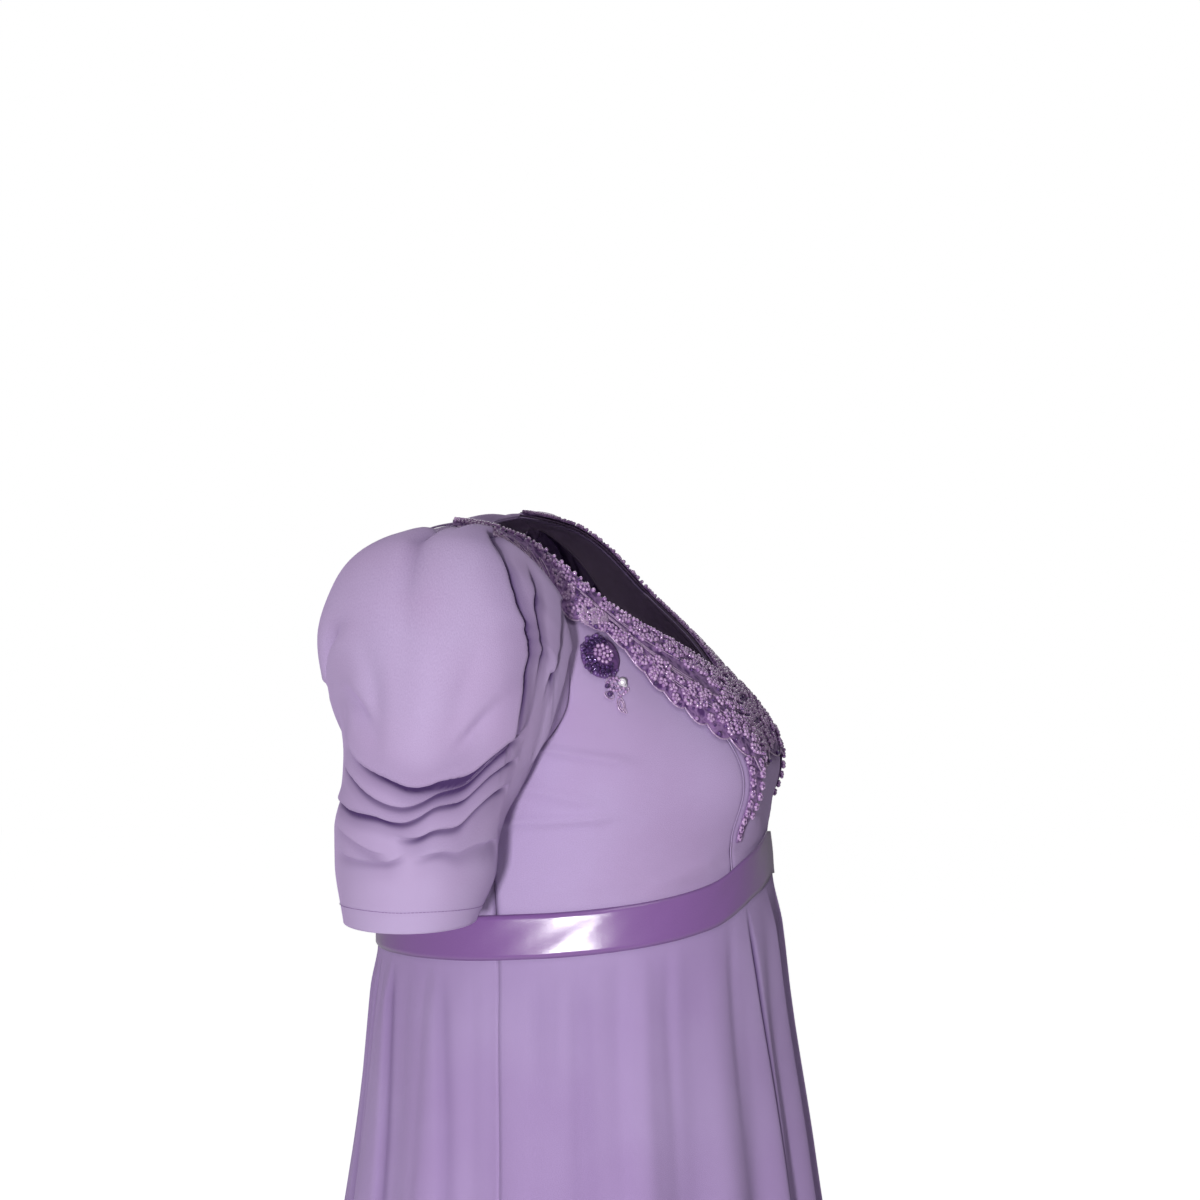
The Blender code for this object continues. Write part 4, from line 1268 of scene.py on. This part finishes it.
def couched(name, runs, radius, material):
    """Threads laid along runs of points, as one mesh. Each run is its points and whether it closes."""
    curve = bpy.data.curves.new(name, "CURVE")
    curve.dimensions = "3D"
    curve.bevel_depth = radius
    curve.bevel_resolution = 1
    curve.use_fill_caps = True
    for points, closes in runs:
        run = curve.splines.new("POLY")
        run.points.add(len(points) - 1)
        run.points.foreach_set("co", np.concatenate((points, np.ones((len(points), 1))), axis=1).ravel())
        run.use_cyclic_u = closes
    strand = placed(name + "_path", curve)
    bpy.context.view_layer.update()
    mesh = bpy.data.meshes.new_from_object(strand.evaluated_get(bpy.context.evaluated_depsgraph_get()))
    bpy.data.objects.remove(strand)
    mesh.name = name
    mesh.shade_smooth()
    mesh.materials.clear()
    return as_piece(name, mesh, material)


silver_thread = gloss_material("silvery_lilac_thread", (0.66, 0.49, 0.70), (0.42, 0.27, 0.48), 0.30,
                               metallic=0.2, spread=900.0)
plum_cord = gloss_material("dark_plum_cord", (0.10, 0.05, 0.13), (0.05, 0.02, 0.07), 0.5, spread=500.0)

VEINS = table(
    "start end across drift",
    (0.50, 0.80, 0.40, 0.10), (0.51, 0.84, 0.44, 0.09), (0.52, 0.90, 0.48, 0.06),
    (0.56, 0.76, 0.30, -0.06), (0.57, 0.80, 0.34, -0.05), (0.62, 0.93, 0.66, 0.08),
    (0.64, 0.90, 0.70, 0.07), (0.70, 0.96, 0.24, 0.02), (0.72, 0.97, 0.56, -0.05),
)
runs = []
for vein in VEINS:
    share = np.linspace(0, 1, 40)
    across = vein.across + vein.drift * share + 0.02 * np.sin(share * math.pi)
    runs.append((lace_point(mix(vein.start, vein.end, share), across, 0.0006), False))
for i in range(CURLS):
    start = 0.10 + 0.013 * i
    curl = np.linspace(0, math.pi * 1.5, 14)
    along = start + 0.010 * np.sin(curl) * (1 - 0.2 * (i % 3))
    across = 0.34 + 0.42 * ((i * 0.37) % 1) + 0.13 * np.cos(curl)
    runs.append((lace_point(along, across, 0.0005), False))
veins_right = couched("lace_veins_right", runs, VEIN_THREAD, silver_thread)

along = np.linspace(0.02, 0.998, 420)
edging_run = lace_point(along, scalloped(along), 0.0002)
edging_right = couched("lace_edging_right", [(edging_run, False)], EDGE_THREAD, silver_thread)

LEAF_STITCHES = 15
LEAVES = table(
    "angle height to_angle to_height width",
    (51.0, -0.068, 44.0, -0.056, 0.0050),
    (48.0, -0.069, 40.0, -0.059, 0.0046),
    (45.0, -0.069, 37.5, -0.063, 0.0042),
)
runs = []
for leaf in LEAVES:
    for stitch in range(LEAF_STITCHES):
        share = (stitch + 0.5) / LEAF_STITCHES
        reach = leaf.width * math.sin(math.pi * share) ** 0.6
        angle, height = mix(leaf.angle, leaf.to_angle, share), mix(leaf.height, leaf.to_height, share)
        side = np.linspace(-1, 1, 7)
        runs.append((gown_point(angle + side * reach / METRES_A_DEGREE * 0.45, height + side * reach * 0.75,
                                LACE_OUT + 0.0006 + 0.0012 * (1 - side ** 2)), False))
leaf_right = couched("satin_leaf_right", runs, LEAF_THREAD, silver_thread)

front_neck = np.linspace(0.3, 88, 150)
front_roll = gown_point(front_neck, read(NECKLINE, "angle", front_neck, "height") + 0.0002, 0.0004)
roll_right = couched("neck_roll_right", [(front_roll, False)], NECK_ROLL, plum_cord)
back_neck = np.linspace(88, 179.7, 120)
back_roll = gown_point(back_neck, read(BACK_NECKLINE, "angle", back_neck, "height") - 0.0002, 0.0002)
back_roll_right = couched("back_neck_roll_right", [(back_roll, False)], NECK_ROLL, chiffon)

share = np.linspace(0.02, 0.99, 60)
piping_angle, piping_height = princess(share)
piping_run = gown_point(piping_angle + 0.5, piping_height, -0.0001)
piping_right = couched("princess_piping_right", [(piping_run, False)], PIPING, chiffon)

# ------------------------------------------------------------------ hem stitches
# A line of small machine stitches above each sleeve hem and the skirt hem, in thread a little darker
# than the chiffon.

SLEEVE_HEM = 0.034
SKIRT_HEM_RISE = 0.022
SLEEVE_STITCHES = 120
SKIRT_STITCHES = 420
STITCH_SHARE = 0.72
STITCH_THREAD = 0.00022
# How fast the swags' draw runs out at the hem, in front and behind.
DRAW_AT_HEM_FRONT = 2.76
DRAW_AT_HEM_BACK = 1.76
hem_thread = gloss_material("violet_sewing_thread", (0.30, 0.19, 0.40), (0.22, 0.13, 0.31), 0.6,
                            spread=300.0)


def stitches(count, point_at):
    """Short straight stitches round a hem, whose points are given by the angle in degrees."""
    places = np.arange(count)[:, None] + STITCH_SHARE * np.linspace(0, 1, 3)
    points = point_at(360 * places.ravel() / count).reshape(count, 3, 3)
    return [(run, False) for run in points]


def hem_line(back):
    plain = plain_sleeve(back)

    def point_at(around):
        turn = np.radians(around)
        drawn = np.where(np.cos(turn) > 0, DRAW_AT_HEM_FRONT, DRAW_AT_HEM_BACK)
        drawn = drawn * np.cos(turn) ** 2 * ease(-0.75, 0.25, np.sin(turn))
        down = 1 - SLEEVE_HEM / (1 + drawn)
        return plain(around, down) + facing(plain, around, down, SLEEVE_STEP) * 0.0003
    return point_at


def skirt_hem_line(angle):
    drop = np.full_like(angle, SKIRT_RUN - SKIRT_HEM_RISE)
    normal = facing(skirt_form, angle, drop, SKIRT_STEP)
    height = skirt_pleats(angle, drop)[0] + 0.0003
    return skirt_form(angle, drop) + normal * height[..., None]


sleeve_stitches = couched("sleeve_hem_stitches_right", stitches(SLEEVE_STITCHES, hem_line(0.0)),
                          STITCH_THREAD, hem_thread)
left_stitches = couched("left_stitch_pattern", stitches(SLEEVE_STITCHES, hem_line(LEFT_SLEEVE_BACK)),
                        STITCH_THREAD, hem_thread)
sleeve_stitches_left = mirrored(left_stitches, "sleeve_hem_stitches_left")
bpy.data.objects.remove(left_stitches)
skirt_stitches = couched("skirt_hem_stitches", stitches(SKIRT_STITCHES, skirt_hem_line),
                         STITCH_THREAD, hem_thread)
for row_of_stitches in (sleeve_stitches, sleeve_stitches_left, skirt_stitches):
    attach(row_of_stitches, "root")

# ------------------------------------------------------------------ rosette and sprig
# A small round flower of dark sequins and beads with a heap of pearls in its middle, sewn below the
# lace, and under it a sprig of pearls, thread loops and one bright sequin.

ROSETTE_ANGLE = 53.5
ROSETTE_HEIGHT = -0.0885
ROSETTE_RADIUS = 0.0150
ROSETTE_RISE = 0.0034
rosette_centre = Vector(gown_point(ROSETTE_ANGLE, ROSETTE_HEIGHT, 0.0012))
rosette_normal = Vector(outward(ROSETTE_ANGLE, ROSETTE_HEIGHT))
rosette_right_way, rosette_up = over_cloth(rosette_normal)


def on_rosette(x, y, lift=0.0):
    """A place on the rosette, x to the right and y up over it, on its dome."""
    dome = ROSETTE_RISE * max(1 - (x * x + y * y) / ROSETTE_RADIUS ** 2, 0.0)
    bend = (x * x + y * y) / 0.24
    return rosette_centre + x * rosette_right_way + y * rosette_up + (dome + lift - bend) * rosette_normal


bm = bmesh.new()
bmesh.ops.create_circle(bm, cap_ends=True, segments=48, radius=ROSETTE_RADIUS)
bmesh.ops.translate(bm, verts=bm.verts, vec=(0, 0, -0.001))
raised = bmesh.ops.extrude_face_region(bm, geom=bm.faces[:])["geom"]
crown = [part for part in raised if isinstance(part, bmesh.types.BMFace)]
corners = [part for part in raised if isinstance(part, bmesh.types.BMVert)]
bmesh.ops.translate(bm, verts=corners, vec=(0, 0, 0.001))
for ring in range(5):
    bmesh.ops.inset_region(bm, faces=crown, thickness=ROSETTE_RADIUS / 6)
for vert in bm.verts:
    vert.co = on_rosette(vert.co.x, vert.co.y, vert.co.z)
bmesh.ops.recalc_face_normals(bm, faces=bm.faces)
mesh = as_mesh("rosette_pad_right", bm)
mesh.shade_smooth()
plum_satin = gloss_material("plum_rosette_cloth", (0.17, 0.07, 0.25), (0.09, 0.035, 0.15), 0.45,
                            spread=220.0)
rosette_pad = as_piece("rosette_pad_right", mesh, plum_satin)

SEQUIN = 0.0019
sequin_gloss = gloss_material("dark_violet_sequin", (0.115, 0.045, 0.22), (0.035, 0.015, 0.08), 0.20,
                              metallic=0.35, coat=0.5, spread=600.0)
bright_gloss = gloss_material("bright_sequin", (0.95, 0.90, 0.97), (0.85, 0.78, 0.90), 0.12,
                              metallic=0.3, coat=0.6, spread=400.0)


def sequins(name, places, material):
    """Thin round cups, each at a centre, facing its own way, with its radius."""
    cup = bmesh.new()
    bmesh.ops.create_cone(cup, cap_ends=True, segments=10, radius1=1.0, radius2=0.55, depth=0.22)
    turned = []
    for centre, way, radius in places:
        facing_way = way.to_track_quat("Z", "Y").to_matrix().to_4x4()
        turned.append(Matrix.Translation(centre) @ facing_way @ Matrix.Scale(radius, 4))
    return sewn_on(name, cup, turned, material)


flowers, rim_beads, heart_pearls = [], [], []
for ring_radius, count in ((0.0136, 24), (0.0113, 19), (0.0092, 15)):
    for i in range(count):
        turn = math.tau * (i + 0.5 * (count % 2)) / count + sewing.uniform(-0.06, 0.06)
        if math.cos(turn) > 0.62 and ring_radius > 0.009:
            continue
        x, y = ring_radius * math.cos(turn), ring_radius * math.sin(turn)
        lean = rosette_normal + 0.7 * (math.cos(turn) * rosette_right_way + math.sin(turn) * rosette_up)
        lean = lean + Vector([sewing.uniform(-0.5, 0.5) for axis in range(3)])
        flowers.append((on_rosette(x, y, 0.0010), lean.normalized(), SEQUIN * sewing.uniform(0.8, 1.15)))
for i in range(24):
    turn = math.radians(92 + i * 9.5)
    reach = 0.0148 * sewing.uniform(0.93, 1.04)
    place = on_rosette(reach * math.cos(turn), reach * math.sin(turn), 0.0010)
    rim_beads.append((place, 0.0013 if i % 3 else 0.0019))
for ring_radius, count in ((0.0, 1), (0.0031, 6), (0.0062, 11)):
    for i in range(count):
        turn = math.tau * (i + sewing.uniform(-0.15, 0.15)) / count + 0.3
        reach = ring_radius * sewing.uniform(0.9, 1.08)
        x, y = reach * math.cos(turn) - 0.0006, reach * math.sin(turn) + 0.0004
        heart_pearls.append((on_rosette(x, y, 0.0016), 0.00140 * sewing.uniform(0.88, 1.08)))

LOOP_THREAD = 0.00045
SPRIG_ANGLE = 57.5
SPRIG_HEIGHT = -0.1135
sprig_centre = Vector(gown_point(SPRIG_ANGLE, SPRIG_HEIGHT, 0.0008))
sprig_normal = Vector(outward(SPRIG_ANGLE, SPRIG_HEIGHT))
sprig_right_way, sprig_up = over_cloth(sprig_normal)


def on_sprig(x, y, lift=0.0):
    """A place on the sprig in millimetres, x to the right and y up over the panel."""
    return sprig_centre + 0.001 * (x * sprig_right_way + y * sprig_up) + lift * sprig_normal


SPRIG_PEARLS = table(
    "x y radius",
    (-4.6, 10.0, 1.15), (-2.2, 11.2, 1.2), (0.2, 11.0, 1.1),
    (-1.2, 8.8, 1.0), (2.0, 9.4, 1.05), (-6.6, 8.2, 1.0),
    (-3.4, 6.6, 1.0), (-5.2, 3.6, 1.1), (-3.0, 2.6, 1.15),
    (-0.8, 2.4, 1.1), (1.4, 3.0, 1.1), (-1.6, 5.2, 1.0),
    (0.6, 5.6, 1.0), (4.6, 3.8, 1.15), (5.8, 1.6, 1.1),
    (4.0, 0.2, 1.0), (1.6, -1.2, 0.9), (-0.2, -2.0, 0.9),
)
SPRIG_DARKS = table(
    "x y radius",
    (-7.6, 5.8, 1.9), (-6.4, 0.2, 2.0), (-2.6, 4.6, 0.9),
)
heart_pearls.extend((on_sprig(bead.x, bead.y, 0.0008), 0.001 * bead.radius) for bead in SPRIG_PEARLS)
rim_beads.extend((on_sprig(bead.x, bead.y, 0.0012), 0.001 * bead.radius) for bead in SPRIG_DARKS)
SPRIG_LOOPS = table(
    "x y long wide lean",
    (4.2, 2.2, 4.4, 2.2, 20), (1.2, -7.2, 5.2, 2.6, 100), (1.4, -7.4, 3.2, 1.3, 100),
    (-6.6, -0.6, 3.6, 2.0, 150), (3.4, -11.6, 2.0, 0.9, 120), (-4.6, 9.4, 4.0, 2.2, 40),
)
runs = []
for loop in SPRIG_LOOPS:
    turn = np.linspace(0, math.tau, 22, endpoint=False)
    along, aside = loop.long * np.cos(turn), loop.wide * np.sin(turn)
    lean = math.radians(loop.lean)
    x = loop.x + along * math.cos(lean) - aside * math.sin(lean)
    y = loop.y + along * math.sin(lean) + aside * math.cos(lean)
    runs.append((np.array([on_sprig(float(a), float(b), 0.0003) for a, b in zip(x, y)]), True))
sprig_loops = couched("sprig_loops_right", runs, LOOP_THREAD, silver_thread)
rosette_sequins = sequins("rosette_sequins_right", flowers, sequin_gloss)
rosette_beads = bead_string("rosette_beads_right", rim_beads, dark_bead)
rosette_pearls = bead_string("rosette_pearls_right", heart_pearls, pearl)
to_lamp = (Vector(LAMPS[0].place) - sprig_centre).normalized()
to_camera = (camera.location - sprig_centre).normalized()
toward_flash = (to_lamp + to_camera).normalized()
bright_sequins = [(on_sprig(3.6, 8.0, 0.0012), toward_flash, 0.0034),
                  (on_sprig(5.6, 6.2, 0.0010), sprig_normal, 0.0022)]
sprig_sequin = sequins("sprig_sequin_right", bright_sequins, bright_gloss)

for piece in (veins_right, edging_right, leaf_right, roll_right, back_roll_right, piping_right, rosette_pad,
              rosette_sequins, rosette_beads, rosette_pearls, sprig_loops, sprig_sequin):
    mirrored(piece, piece.name.replace("_right", "_left"))
for side, lace, tail in (("right", lace_right, lace_tail_right), ("left", lace_left, lace_tail_left)):
    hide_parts("lace_" + side)
    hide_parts("lace_tail_" + side)
    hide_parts("rosette_" + side)
    on_lace = [bpy.data.objects[name + side] for name in (
        "lace_pearls_", "lace_dark_beads_", "lace_veins_", "lace_edging_", "satin_leaf_", "neck_roll_")]
    for piece in (lace, tail, *on_lace):
        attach(piece, "root")
    for name in ("rosette_pad_", "rosette_sequins_", "rosette_beads_", "rosette_pearls_", "sprig_loops_",
                 "sprig_sequin_"):
        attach(bpy.data.objects[name + side], "root")
    for name in ("princess_piping_", "back_neck_roll_"):
        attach(bpy.data.objects[name + side], "root")
